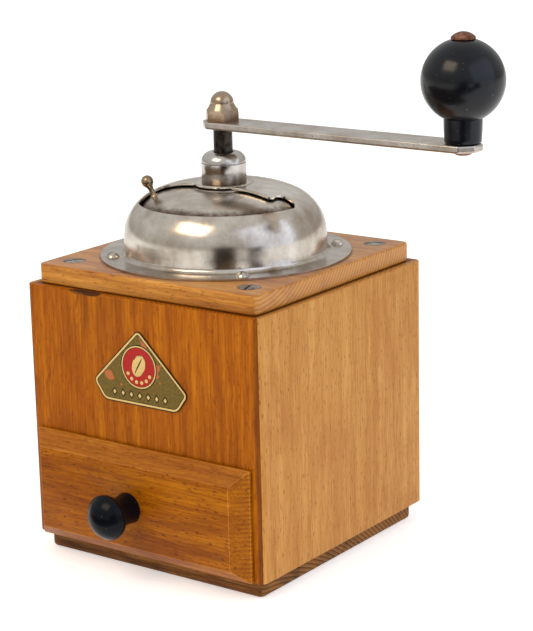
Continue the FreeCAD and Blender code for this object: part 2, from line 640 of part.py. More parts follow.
def make_burr_cone():
    """Coarse spiral ribs that draw the beans in, above a flared skirt of fine teeth."""
    waist = number("waist_level")
    top = number("cone_top")
    foot = number("cone_foot")
    at_waist = number("cone_waist")
    at_foot = at_waist + (waist - foot) * number("flare")
    nose = number("cone_nose")
    belly = (at_waist + nose) / 2
    deep = number("coarse_deep")
    coarse = toothed_solid(int(number("coarse_ribs")), [
        (waist, at_waist, at_waist - deep, 0),
        ((waist + top) / 2, belly + 0.6, belly - deep, -24),
        (top, nose, nose - 2.0, -52),
    ])
    deep = number("fine_deep")
    fine = toothed_solid(int(number("fine_teeth")), [
        (foot, at_foot, at_foot - deep, 0), (waist, at_waist, at_waist - deep, -6)])
    hub = Part.makeCylinder(number("hub_rad"), number("hub_tall") + 1, FreeCAD.Vector(0, 0, top - 1))
    bore = Part.makeCylinder(number("spindle_rad + square_fit"), top, FreeCAD.Vector(0, 0, foot - 5))
    reach = at_foot
    pin = Part.makeCylinder(number("cone_pin_bore"), 2 * reach,
                            FreeCAD.Vector(-reach, 0, top + number("cone_pin_up")), FreeCAD.Vector(1, 0, 0))
    body = coarse.fuse([fine, hub]).removeSplitter()
    carried("burr_cone", body.cut(bore).cut(pin))


def make_burr_ring():
    """The fixed ring: teeth all round its bore, wide at the top and parallel to the cone below."""
    waist = number("waist_level")
    foot = number("barrel_foot") - number("ring_flange")
    gap = number("burr_gap")
    at_waist = number("cone_waist") + gap
    at_foot = at_waist + (waist - foot) * number("flare")
    top = number("barrel_seat") - 0.1
    mouth = number("throat_rad") - 0.3
    deep = number("ring_deep")
    coarse = toothed_solid(int(number("ring_ribs")), [
        (waist, at_waist, at_waist + deep, 0), (top, mouth - deep - 1, mouth, 16)])
    deep = number("ring_fine_deep")
    fine = toothed_solid(int(number("fine_teeth")), [
        (foot, at_foot, at_foot + deep, 0), (waist, at_waist, at_waist + deep, 5)])
    body = Part.makeCylinder(number("barrel_bore - tube_clear"), top - foot, FreeCAD.Vector(0, 0, foot))
    flange = Part.makeCylinder(number("ring_rim"), number("ring_flange"), FreeCAD.Vector(0, 0, foot))
    body = body.fuse(flange).removeSplitter()
    for side in (1, -1):
        spot = FreeCAD.Vector(side * number("strap_screw_at"), 0, foot)
        body = body.cut(Part.makeCylinder(number("strap_screw_bore"), top - foot, spot))
    carried("burr_ring", body.cut(coarse).cut(fine))


def make_lower_bridge():
    """A bent strap under the ring that carries the adjuster in its boss."""
    foot_level = "barrel_foot - ring_flange - strap_thick"
    leg_tall = "barrel_foot - ring_flange - strap_level"
    bar = slab("strap_bar", "-strap_leg - strap_thick", "-strap_wide / 2", "strap_level",
               "2 * (strap_leg + strap_thick)", "strap_wide", "bar_deep")
    pieces = [bar, rod("strap_boss", "boss_rad", "boss_tall", z="strap_level - boss_drop")]
    tools = [rod("strap_bore", "shank_rad + 0.1", "2 * boss_tall", z="strap_level - boss_tall"),
             rod("strap_spring_hole", "spring_bore", "2 * bar_deep", x="spring_screw_at",
                 z="strap_level - bar_deep")]
    for side, sign in (("right", ""), ("left", "-")):
        leg_x = "strap_leg" if sign == "" else "-strap_leg - strap_thick"
        pieces.append(slab("strap_leg_" + side, leg_x, "-strap_wide / 2", "strap_level",
                           "strap_thick", "strap_wide", leg_tall))
        foot_x = "strap_leg" if sign == "" else "-ring_rim"
        pieces.append(slab("strap_foot_" + side, foot_x, "-strap_wide / 2", foot_level,
                           "ring_rim - strap_leg", "strap_wide", "strap_thick"))
        tools.append(rod("strap_hole_" + side, "strap_screw_bore", "3 * strap_thick",
                         x=sign + "strap_screw_at", z=foot_level + " - strap_thick"))
    cut("lower_bridge", fuse("strap_solid", pieces), fuse("strap_bores", tools))


def make_adjuster():
    """A notched thumb wheel on a threaded shank whose top is a cup for the spindle's foot."""
    cup = "spindle_rad + run_clear"
    stops = [
        ("0", "wheel_level"), ("wheel_rad", "wheel_level"), ("wheel_rad", "wheel_level + wheel_thick"),
        ("shank_rad", "wheel_level + wheel_thick"), ("shank_rad", "shank_top"),
        (cup, "shank_top"), (cup, "cup_floor"), ("0", "cup_floor"),
    ]
    body = turned("adjuster", stops)
    spot = [("wheel_rad + notch_off", "0")]
    notch = circles(body, "wheel_notch", "XY_Plane", spot, "notch_rad", "wheel_level")
    feature = pocket(body, notch, "wheel_thick", reverse=True)
    ring = body.newObject("PartDesign::PolarPattern", "wheel_notches")
    ring.Originals = [feature]
    ring.Axis = (notch, ["N_Axis"])
    ring.Angle = 360
    ring.Occurrences = int(number("notch_count"))
    body.Tip = ring
    doc.recompute()


def make_click_spring():
    """A leaf screwed under the bridge, bent down beside the wheel's notches."""
    beside = "wheel_rad + spring_thick"
    tip = "wheel_level + 0.6"
    foot = slab("spring_leg", beside, "-spring_wide / 2", "strap_level - spring_thick", "spring_foot",
                "spring_wide", "spring_thick")
    leaf = slab("spring_leaf", beside, "-spring_wide / 2", tip, "spring_thick", "spring_wide",
                "strap_level - (%s)" % tip)
    solid = fuse("spring_solid", [foot, leaf])
    hole = rod("spring_hole", "spring_bore", "2 * spring_thick", x="spring_screw_at",
               z="strap_level - 1.5 * spring_thick")
    cut("click_spring", solid, hole)


def make_spindle():
    shaft = rod("spindle_shaft", "spindle_rad", "arm_level - spindle_foot", z="spindle_foot")
    block = slab("spindle_square", "-square / 2", "-square / 2", "arm_level", "square", "square", "arm_thick")
    stud = rod("spindle_thread", "thread_rad", "thread_long", z="arm_level + arm_thick")
    across = FreeCAD.Placement(FreeCAD.Vector(), FreeCAD.Rotation(FreeCAD.Vector(0, 1, 0), 90))
    tool = rod("spindle_pin_hole", "cone_pin_bore", "2 * cone_pin_half")
    tool.Placement = across
    place(tool, "-cone_pin_half", "0", "cone_top + cone_pin_up")
    cut("spindle", fuse("spindle_solid", [shaft, block, stud]), tool)
    pin = rod("cone_pin", "cone_pin_rad", "2 * cone_pin_half")
    pin.Placement = across
    place(pin, "-cone_pin_half", "0", "cone_top + cone_pin_up")


def make_thrust_ball():
    ball = doc.addObject("Part::Sphere", "thrust_ball")
    bind(ball, Radius="(spindle_foot - cup_floor) / 2 - 0.15")
    place(ball, z="(spindle_foot + cup_floor) / 2")


# ---------------------------------------------------------------- crank

def make_crank_arm():
    body = new_body("crank_arm")
    wide = "arm_wide / 2"
    clipped = "arm_wide / 2 - arm_clip"
    tail = "-arm_tail"
    tip = "crank_reach + arm_tip"
    stops = [
        (tail + " + arm_clip", "-" + wide), (tip + " - arm_clip", "-" + wide), (tip, "-(%s)" % clipped),
        (tip, clipped), (tip + " - arm_clip", wide), (tail + " + arm_clip", wide),
        (tail, clipped), (tail, "-(%s)" % clipped),
    ]
    pad(body, outline(body, "arm_plan", "XY_Plane", stops, "arm_level"), "arm_thick")
    dress(body, "Fillet", "arm_corner", is_upright)
    top = number("arm_level + arm_thick")
    low = number("arm_level")
    dress(body, "Fillet", "arm_edge", lambda e: is_level(e, top) or is_level(e, low))
    side = "square / 2 + square_fit"
    eye = [(side, "-(%s)" % side), (side, side), ("-(%s)" % side, side), ("-(%s)" % side, "-(%s)" % side)]
    pocket(body, outline(body, "arm_square", "XY_Plane", eye, "arm_level + arm_thick"), "arm_thick")
    spot = [("crank_reach", "0")]
    hole = circles(body, "arm_pin_hole", "XY_Plane", spot, "pin_rad", "arm_level + arm_thick")
    pocket(body, hole, "arm_thick")


def make_crank_nut():
    """A domed cap nut: a hexagon with turned-off corners under a bell and a round nose."""
    foot = number("arm_level + arm_thick")
    high = number("nut_base")
    across = number("nut_flats") / math.sqrt(3)
    turns = [math.radians(60 * corner + number("nut_turn")) for corner in range(7)]
    corners = [FreeCAD.Vector(across * math.cos(a), across * math.sin(a), foot) for a in turns]
    prism = Part.makePolygon(corners)
    hexagon = Part.Face(prism).extrude(FreeCAD.Vector(0, 0, high))
    turned_off = Part.makeCone(across + 2.2, across - 1.0, high, FreeCAD.Vector(0, 0, foot))
    top = number("nut_top")
    nose = number("nut_nose")
    ledge = across - number("nut_step")
    sunk = foot + high - 0.5
    bell = [FreeCAD.Vector(0, 0, sunk), FreeCAD.Vector(ledge, 0, sunk),
            FreeCAD.Vector(ledge, 0, foot + high), FreeCAD.Vector(nose, 0, top - nose)]
    edges = [Part.makeLine(a, b) for a, b in zip(bell[:2], bell[1:3])]
    waist = FreeCAD.Vector(number("nut_waist"), 0, foot + high + number("nut_waist_at"))
    edges.append(Part.Arc(bell[2], waist, bell[3]).toShape())
    crest = FreeCAD.Vector(0, 0, top)
    half = math.sqrt(0.5)
    side = FreeCAD.Vector(nose * half, 0, top - nose * (1 - half))
    edges.append(Part.Arc(bell[3], side, crest).toShape())
    edges.append(Part.makeLine(crest, bell[0]))
    crown = Part.Face(Part.Wire(edges)).revolve(FreeCAD.Vector(), FreeCAD.Vector(0, 0, 1), 360)
    bore = Part.makeCylinder(number("nut_thread"), number("nut_deep"), FreeCAD.Vector(0, 0, foot))
    carried("crank_nut", hexagon.common(turned_off).fuse(crown).cut(bore).removeSplitter())


def make_knob_pin():
    """A rivet: a low head under the arm, a shank the grip turns on, and a domed head over the ball."""
    head = "ball_level + sqrt(ball_rad^2 - pin_head^2) + grip_clear"
    tail = "arm_level - pin_tail"
    shank = "pin_rad - 0.02"
    stops = [
        ("0", tail), ("pin_rad - 0.6", tail), ("pin_rad + 1.2", "arm_level", "2.6", 1), (shank, "arm_level"),
        (shank, head), ("pin_head", head), ("pin_head", head + " + pin_rim"),
        ("0", head + " + pin_rim + pin_crown", cap_bend("pin_head", "pin_crown"), 1),
    ]
    pin = turned("knob_pin", stops)
    place(pin, "crank_reach")


def make_crank_knob():
    """A ball on a short neck, bored to turn on its pin, with a flat under the pin's head."""
    top = "ball_level + sqrt(ball_rad^2 - pin_head^2)"
    neck_top = "ball_level - sqrt(ball_rad^2 - neck_rad^2)"
    foot = "arm_level + arm_thick + grip_clear"
    bore = "pin_rad + run_clear"
    side = "neck_rad - neck_ease / 2"
    stops = [
        (bore, foot), (side + " - neck_ease", foot), (side, foot + " + neck_ease", "neck_ease", 1),
        ("neck_rad", neck_top), ("pin_head", top, "ball_rad", 1), (bore, top),
    ]
    knob = turned("crank_knob", stops)
    place(knob, "crank_reach")


# ---------------------------------------------------------------- badge and fasteners

def make_badge():
    """A thin shield, pointed at the top, on the front wall."""
    body = new_body("badge")
    stops = [
        ("badge_half - badge_slant", "badge_low"), ("badge_half", "badge_shoulder"), ("0", "badge_tip"),
        ("-badge_half", "badge_shoulder"), ("-badge_half + badge_slant", "badge_low"),
    ]
    pad(body, outline(body, "badge_plan", "XZ_Plane", stops, "case_width / 2"), "badge_thick")
    dress(body, "Fillet", "badge_round", lambda e: e.BoundBox.XLength < 1e-4 and e.BoundBox.ZLength < 1e-4)


# head radius, head height, shank radius, length under the head, and whether the head is round or sunk
SCREWS = {
    "dome": (number("dome_screw_head"), 1.9, 1.6, 7.5, "round"),
    "lid": (number("lid_screw_head"), 2.2, number("lid_screw_shank"), 30, "sunk"),
    "base": (2.2, 1.0, 1.3, 24, "sunk"),
    "housing": (3.0, 2.0, 1.6, 8, "round"),
    "bar": (2.5, 1.7, 1.55, 7.2, "round"),
    "strap": (3.0, 2.2, 1.55, 14, "round"),
    "spring": (2.2, 1.3, 1.25, 4.2, "round"),
}


def screw_shape(head, tall, shank, long, kind):
    """A slotted screw standing on its head's seat at z = 0, head up: round, or sunk with a slight crown."""
    if kind == "round":
        bend = (head * head + tall * tall) / (2 * tall)
        ball = Part.makeSphere(bend, FreeCAD.Vector(0, 0, tall - bend))
        top = Part.makeCylinder(head, tall).common(ball)
        deep = 0.55 * tall
    else:
        crown = 0.5
        bend = (head * head + crown * crown) / (2 * crown)
        ball = Part.makeSphere(bend, FreeCAD.Vector(0, 0, crown - bend))
        top = Part.makeCylinder(head, crown).common(ball)
        cone = Part.makeCone(shank, head - 0.05, tall, FreeCAD.Vector(0, 0, -tall))
        top = top.fuse(cone)
        tall = crown
        deep = 1.0
    slot = Part.makeBox(4 * head, 0.24 * head, 2 * deep, FreeCAD.Vector(-2 * head, -0.12 * head, tall - deep))
    stem = Part.makeCylinder(shank, long, FreeCAD.Vector(0, 0, -long))
    return top.fuse(stem).cut(slot).removeSplitter()


def screw_group(name, screw, spots, flip=False):
    """Copies of one screw at (x, y, z) places, each with its slot turned its own way."""
    copies = []
    for index, (x, y, z) in enumerate(spots):
        copy = screw.copy()
        copy.rotate(FreeCAD.Vector(), FreeCAD.Vector(0, 0, 1), 35 + 67 * index)
        if flip:
            copy.rotate(FreeCAD.Vector(), FreeCAD.Vector(1, 0, 0), 180)
        copy.translate(FreeCAD.Vector(x, y, z))
        copies.append(copy)
    carried(name, Part.makeCompound(copies))


def make_screws():
    lid_top = number(LID_TOP)
    lid_foot = number(LID_FOOT)
    signs = [(1, 1), (1, -1), (-1, 1), (-1, -1)]
    reach = number("dome_screw_at")
    dome_screw = screw_shape(*SCREWS["dome"])
    level = lid_top + number("sheet_thick")
    screw_group("dome_screws", dome_screw, [(a * reach, b * reach, level) for a, b in signs])
    reach = number("lid_screw_at")
    lid_screw = screw_shape(*SCREWS["lid"])
    screw_group("top_board_screws", lid_screw, [(a * reach, b * reach, lid_top) for a, b in signs])
    side = number("base_screw_side")
    along = number("base_screw_along")
    base_screw = screw_shape(*SCREWS["base"])
    screw_group("base_screws", base_screw, [(a * side, b * along, 0.55) for a, b in signs], flip=True)
    ring = number("housing_screw_at")
    housing_screw = screw_shape(*SCREWS["housing"])
    spots = [(ring, 0), (0, ring), (-ring, 0), (0, -ring)]
    level = lid_foot - number("housing_flange")
    screw_group("housing_screws", housing_screw, [(x, y, level) for x, y in spots], flip=True)
    bar = number("bar_screw_at")
    bar_screw = screw_shape(*SCREWS["bar"])
    level = lid_foot + number("bar_thick")
    screw_group("upper_bridge_screws", bar_screw, [(a * bar, 0, level) for a in (1, -1)])
    strap = number("strap_screw_at")
    strap_screw = screw_shape(*SCREWS["strap"])
    level = number("barrel_foot - ring_flange - strap_thick")
    screw_group("lower_bridge_screws", strap_screw, [(a * strap, 0, level) for a in (1, -1)], flip=True)
    spring_screw = screw_shape(*SCREWS["spring"])
    level = number("strap_level - spring_thick")
    screw_group("click_spring_screw", spring_screw, [(number("spring_screw_at"), 0, level)], flip=True)


# ---------------------------------------------------------------- build and write

make_base_board()
for quarter, wall_name in enumerate(("front_panel", "right_panel", "back_panel", "left_panel")):
    panel(wall_name, 90 * quarter)
make_corner_blocks()
make_top_board()
make_drawer_front()
drill_drawer_front()
make_drawer_box()
make_drawer_pull()
make_dome()
make_shutter()
make_shutter_stud()
make_bearing_cap()
make_bearing_bush()
make_upper_bridge()
make_housing()
make_burr_cone()
make_burr_ring()
make_lower_bridge()
make_adjuster()
make_click_spring()
make_spindle()
make_thrust_ball()
make_crank_arm()
make_crank_nut()
make_knob_pin()
make_crank_knob()
make_badge()
make_screws()
doc.recompute()

NODES = [
    "base_board", "front_panel", "back_panel", "left_panel", "right_panel", "top_board",
    "corner_block_front_left", "corner_block_front_right", "corner_block_back_left", "corner_block_back_right",
    "drawer_front", "drawer_left_side", "drawer_right_side", "drawer_back", "drawer_bottom",
    "drawer_knob", "drawer_knob_screw", "badge",
    "dome", "shutter", "shutter_knob", "bearing_cap", "bearing_bush", "upper_bridge",
    "mill_housing", "burr_ring", "burr_cone", "cone_pin", "lower_bridge", "adjuster", "thrust_ball",
    "click_spring", "spindle", "crank_arm", "crank_nut", "knob_pin", "crank_knob",
    "dome_screws", "top_board_screws", "base_screws", "housing_screws", "upper_bridge_screws",
    "lower_bridge_screws", "click_spring_screw",
]

for thing in doc.Objects:
    if "Invalid" in thing.State or "Error" in thing.State:
        raise ValueError("%s is %s" % (thing.Name, thing.State))
os.makedirs("parts", exist_ok=True)
for node in NODES:
    shape = doc.getObject(node).Shape
    if shape.isNull() or not shape.isValid() or not shape.Solids:
        raise ValueError("bad shape: " + node)
for node in NODES:
    piece = doc.getObject(node)
    piece.Label = node
    piece.Shape.exportStep("parts/%s.step" % node)
    box = piece.Shape.BoundBox
    print("%-26s %8.1f mm3  x %.1f..%.1f  y %.1f..%.1f  z %.1f..%.1f" % (
        node, piece.Shape.Volume, box.XMin, box.XMax, box.YMin, box.YMax, box.ZMin, box.ZMax))
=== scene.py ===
import json
import math

import bmesh
import bpy
from mathutils import Matrix, Vector


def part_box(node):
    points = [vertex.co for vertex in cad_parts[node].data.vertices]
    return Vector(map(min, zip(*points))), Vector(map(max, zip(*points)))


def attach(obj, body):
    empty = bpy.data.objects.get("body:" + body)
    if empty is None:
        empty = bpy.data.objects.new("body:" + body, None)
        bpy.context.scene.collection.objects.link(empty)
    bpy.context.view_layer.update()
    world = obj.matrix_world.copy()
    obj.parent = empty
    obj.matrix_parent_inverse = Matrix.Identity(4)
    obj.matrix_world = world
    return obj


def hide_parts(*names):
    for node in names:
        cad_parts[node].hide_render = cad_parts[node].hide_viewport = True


# A wooden box coffee mill. The carried-over pieces keep their places; this script gives them their
# finishes, and remodels the ones whose worn edges, turnings or prints the eye picks out.

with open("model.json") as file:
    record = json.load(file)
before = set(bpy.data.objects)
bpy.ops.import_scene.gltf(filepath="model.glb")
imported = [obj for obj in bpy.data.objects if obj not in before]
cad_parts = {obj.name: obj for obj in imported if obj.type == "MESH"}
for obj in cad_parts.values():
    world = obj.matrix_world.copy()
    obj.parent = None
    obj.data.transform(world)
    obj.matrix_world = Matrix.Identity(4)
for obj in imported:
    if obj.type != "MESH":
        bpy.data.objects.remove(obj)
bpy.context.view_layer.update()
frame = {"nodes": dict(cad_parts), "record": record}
NODES = frame["nodes"]
MM = 0.001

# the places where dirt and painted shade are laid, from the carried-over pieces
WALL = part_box("right_panel")[1].x
CASE_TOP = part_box("right_panel")[1].z
LID_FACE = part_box("top_board")[1].x
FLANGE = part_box("dome")[1].x
SCREW_HEAD = 4.25 * MM
SCREW_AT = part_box("top_board_screws")[1].x - SCREW_HEAD


# ---------------------------------------------------------------- material helpers

def linear(colour):
    """An sRGB hex colour as linear red, green, blue and alpha."""
    parts = [int(colour[i:i + 2], 16) / 255 for i in (1, 3, 5)]
    return tuple(p / 12.92 if p <= 0.04045 else ((p + 0.055) / 1.055) ** 2.4 for p in parts) + (1.0,)


def add(tree, kind, inputs=None, stops=None, **settings):
    """One shader node. Settings are its own, inputs are values or sockets by name or number, and stops
    are a ramp's (place, colour or grey level)."""
    made = tree.nodes.new("ShaderNode" + kind)
    for name, value in settings.items():
        setattr(made, name, value)
    for name, value in (inputs or {}).items():
        if isinstance(value, bpy.types.NodeSocket):
            tree.links.new(value, made.inputs[name])
        else:
            made.inputs[name].default_value = value
    if stops:
        ramp = made.color_ramp.elements
        while len(ramp) < len(stops):
            ramp.new(0.5)
        for element, (position, colour) in zip(ramp, stops):
            element.position = position
            element.color = linear(colour) if isinstance(colour, str) else (colour, colour, colour, 1.0)
    return made


def new_material(name):
    material = bpy.data.materials.new(name)
    material.use_nodes = True
    material.node_tree.nodes.clear()
    return material, material.node_tree


# ---------------------------------------------------------------- finishes

def beech(name, grain, pith, tones, ring, stain,
          gloss=0.35, shine=0.12, flecks=0.55, pores=0.6, grime_and_shade=None):
    """Lacquered beech, sawn along the grain axis, X or Z, with its pith off the board by millimetres.

    Growth rings, fine fibre streaks and short dark rays are cut from one block, so a board's faces
    and ends show the same tree. Tones are the palest, the middle and the deepest fibre; pores is how
    high the noise must rise for a ray, so less is denser; grime_and_shade is a function that adds
    this board's own grime and painted shade and gives back its share."""
    material, tree = new_material(name)
    where = add(tree, "TexCoord").outputs["Object"]
    lengthwise = (lambda k: (k, 1000, 1000)) if grain == "X" else (lambda k: (1000, 1000, k))
    # fine fibres about 0.4 mm wide and 15 mm long, over slower bands that run on for decimetres
    fibres = add(tree, "Mapping", {"Vector": where, "Location": pith, "Scale": lengthwise(55)})
    streaks = add(tree, "TexNoise", {"Vector": fibres.outputs[0], "Scale": 1.3, "Detail": 5.0,
                                     "Roughness": 0.65})
    drifts = add(tree, "Mapping", {"Vector": where, "Location": pith, "Scale": lengthwise(75)})
    bands = add(tree, "TexNoise", {"Vector": drifts.outputs[0], "Scale": 0.2, "Detail": 3.0,
                                   "Roughness": 0.6})
    woven = add(tree, "Mix", {0: 0.45, 2: streaks.outputs["Fac"], 3: bands.outputs["Fac"]},
                data_type="FLOAT")
    colour = add(tree, "ValToRGB", {"Fac": woven.outputs[0]},
                 stops=[(0.36, tones[2]), (0.5, tones[1]), (0.62, tones[0])])
    # growth rings about 3.5 mm apart, wavering along the board
    boards = add(tree, "Mapping", {"Vector": where, "Location": pith, "Scale": lengthwise(40)})
    rings = add(tree, "TexWave", {"Vector": boards.outputs[0], "Scale": 0.09, "Distortion": 9.0,
                                  "Detail": 3.0, "Detail Scale": 0.5, "Detail Roughness": 0.6},
                wave_type="RINGS", rings_direction=grain, wave_profile="SAW")
    late = add(tree, "ValToRGB", {"Fac": rings.outputs["Fac"]},
               stops=[(0.4, 0.0), (0.93, 1.0), (1.0, 0.0)])
    ring_share = add(tree, "Math", {0: late.outputs[0], 1: ring}, operation="MULTIPLY")
    colour = add(tree, "Mix", {0: ring_share.outputs[0], 6: colour.outputs[0], 7: linear(tones[2])},
                 data_type="RGBA")
    # on sawn ends the fibres are dots and the rings show as fine clean arcs
    block = add(tree, "Mapping", {"Vector": where, "Location": pith, "Scale": (1000, 1000, 1000)})
    arcs = add(tree, "TexWave", {"Vector": block.outputs[0], "Scale": 0.17, "Distortion": 1.5,
                                 "Detail": 2.0, "Detail Scale": 0.2},
               wave_type="RINGS", rings_direction=grain, wave_profile="SAW")
    sawn = add(tree, "ValToRGB", {"Fac": arcs.outputs["Fac"]},
               stops=[(0.0, tones[0]), (0.6, tones[1]), (0.95, tones[2]), (1.0, tones[1])])
    facing = add(tree, "SeparateXYZ", {"Vector": add(tree, "TexCoord").outputs["Normal"]})
    endwise = add(tree, "Math", {0: facing.outputs[grain]}, operation="ABSOLUTE")
    is_end = add(tree, "ValToRGB", {"Fac": endwise.outputs[0]}, stops=[(0.6, 0.0), (0.8, 0.85)])
    colour = add(tree, "Mix", {0: is_end.outputs[0], 6: colour.outputs[2], 7: sawn.outputs[0]},
                 data_type="RGBA")
    # old stains and hand grease, a few centimetres wide
    broad = add(tree, "Mapping", {"Vector": where, "Location": pith, "Scale": lengthwise(420)})
    blotches = add(tree, "TexNoise", {"Vector": broad.outputs[0], "Scale": 0.05, "Detail": 5.0,
                                      "Roughness": 0.65, "Distortion": 0.8})
    worn = add(tree, "ValToRGB", {"Fac": blotches.outputs["Fac"]}, stops=[(0.48, 0.0), (0.72, 0.75)])
    colour = add(tree, "Mix", {0: worn.outputs[0], 6: colour.outputs[2], 7: linear(stain)},
                 data_type="RGBA")
    # short dark rays, 0.5 mm by 3 mm
    short = add(tree, "Mapping", {"Vector": where, "Location": pith, "Scale": lengthwise(260)})
    rays = add(tree, "TexNoise", {"Vector": short.outputs[0], "Scale": 1.3, "Detail": 2.0,
                                  "Roughness": 0.5})
    marks = add(tree, "ValToRGB", {"Fac": rays.outputs["Fac"]},
                stops=[(pores, 0.0), (pores + 0.1, flecks)])
    colour = add(tree, "Mix", {0: marks.outputs[0], 6: colour.outputs[2], 7: linear("#5A2A0A")},
                 data_type="RGBA")
    # grime, and painted shade where the board meets the lid, the dome's flange and the screw heads
    if grime_and_shade:
        colour = add(tree, "Mix", {0: grime_and_shade(tree, where), 6: colour.outputs[2], 7: linear("#522409")},
                     data_type="RGBA")
    height = add(tree, "Math", {0: marks.outputs[0], 1: -0.7, 2: streaks.outputs["Fac"]},
                 operation="MULTIPLY_ADD")
    relief = add(tree, "Bump", {"Height": height.outputs[0], "Strength": 0.25, "Distance": 0.0004})
    sheen = add(tree, "MapRange", {"Value": streaks.outputs["Fac"], "To Min": gloss + 0.1,
                                   "To Max": gloss})
    shader = add(tree, "BsdfPrincipled", {
        "Base Color": colour.outputs[2], "Roughness": sheen.outputs[0], "Normal": relief.outputs[0],
        "Specular IOR Level": shine})
    add(tree, "OutputMaterial", {"Surface": shader.outputs[0]})
    return material


def ledge_dirt_and_shade(tree, where):
    """Dirt and painted shade on the ledge, darkening it against the lid's foot."""
    quarter = add(tree, "VectorMath", {0: where}, operation="ABSOLUTE")
    split = add(tree, "SeparateXYZ", {"Vector": quarter.outputs[0]})
    furthest = add(tree, "Math", {0: split.outputs["X"], 1: split.outputs["Y"]}, operation="MAXIMUM")
    ledge = add(tree, "MapRange", {"Value": furthest.outputs[0], "From Min": LID_FACE + 2.2 * MM,
                                   "From Max": LID_FACE, "To Max": 0.9})
    high = add(tree, "MapRange", {"Value": split.outputs["Z"], "From Min": CASE_TOP - 0.5 * MM,
                                  "From Max": CASE_TOP - 0.3 * MM})
    return add(tree, "Math", {0: ledge.outputs[0], 1: high.outputs[0]}, operation="MULTIPLY").outputs[0]


def wall_dirt_and_shade(tree, where):
    """The ledge's dirt and painted shade, and a reddish line drawn in along the upright corners."""
    quarter = add(tree, "VectorMath", {0: where}, operation="ABSOLUTE")
    split = add(tree, "SeparateXYZ", {"Vector": quarter.outputs[0]})
    nearest = add(tree, "Math", {0: split.outputs["X"], 1: split.outputs["Y"]}, operation="MINIMUM")
    drift = add(tree, "TexNoise", {"Vector": where, "Scale": 55.0, "Detail": 3.0})
    uneven = add(tree, "Math", {0: drift.outputs["Fac"], 1: 3.0 * MM, 2: nearest.outputs[0]},
                 operation="MULTIPLY_ADD")
    corner = add(tree, "MapRange", {"Value": uneven.outputs[0], "From Min": WALL - 1.5 * MM,
                                    "From Max": WALL + 2.2 * MM})
    line = add(tree, "ValToRGB", {"Fac": corner.outputs[0]},
               stops=[(0.0, 0.0), (0.3, 0.6), (0.55, 0.6), (0.9, 0.15)])
    # the ledge's darkening is dirt with painted shade against the lid
    both = add(tree, "Math", {0: line.outputs[0], 1: ledge_dirt_and_shade(tree, where)}, operation="MAXIMUM")
    return both.outputs[0]


def lid_dirt_and_shade(tree, where):
    """Dirt and painted shade on the lid: a dark line round the dome's flange, and a ring round each sunk
    screw.
    """
    flat = add(tree, "VectorMath", {0: where, 1: (1.0, 1.0, 0.0)}, operation="MULTIPLY")
    reach = add(tree, "VectorMath", {0: flat.outputs[0]}, operation="LENGTH")
    ragged = add(tree, "TexNoise", {"Vector": where, "Scale": 350.0, "Detail": 3.0})
    pushed = add(tree, "Math", {0: ragged.outputs["Fac"], 1: 1.2 * MM, 2: reach.outputs["Value"]},
                 operation="MULTIPLY_ADD")
    rim = add(tree, "MapRange", {"Value": pushed.outputs[0], "From Min": FLANGE + 1.6 * MM,
                                 "From Max": FLANGE + 0.3 * MM, "To Max": 0.85})
    quarter = add(tree, "VectorMath", {0: flat.outputs[0]}, operation="ABSOLUTE")
    off = add(tree, "VectorMath", {0: quarter.outputs[0], 1: (SCREW_AT, SCREW_AT, 0.0)},
              operation="SUBTRACT")
    gap = add(tree, "VectorMath", {0: off.outputs[0]}, operation="LENGTH")
    ring = add(tree, "MapRange", {"Value": gap.outputs["Value"], "From Min": SCREW_HEAD + 1.05 * MM,
                                  "From Max": SCREW_HEAD + 0.15 * MM, "To Max": 0.85})
    return add(tree, "Math", {0: rim.outputs[0], 1: ring.outputs[0]}, operation="MAXIMUM").outputs[0]


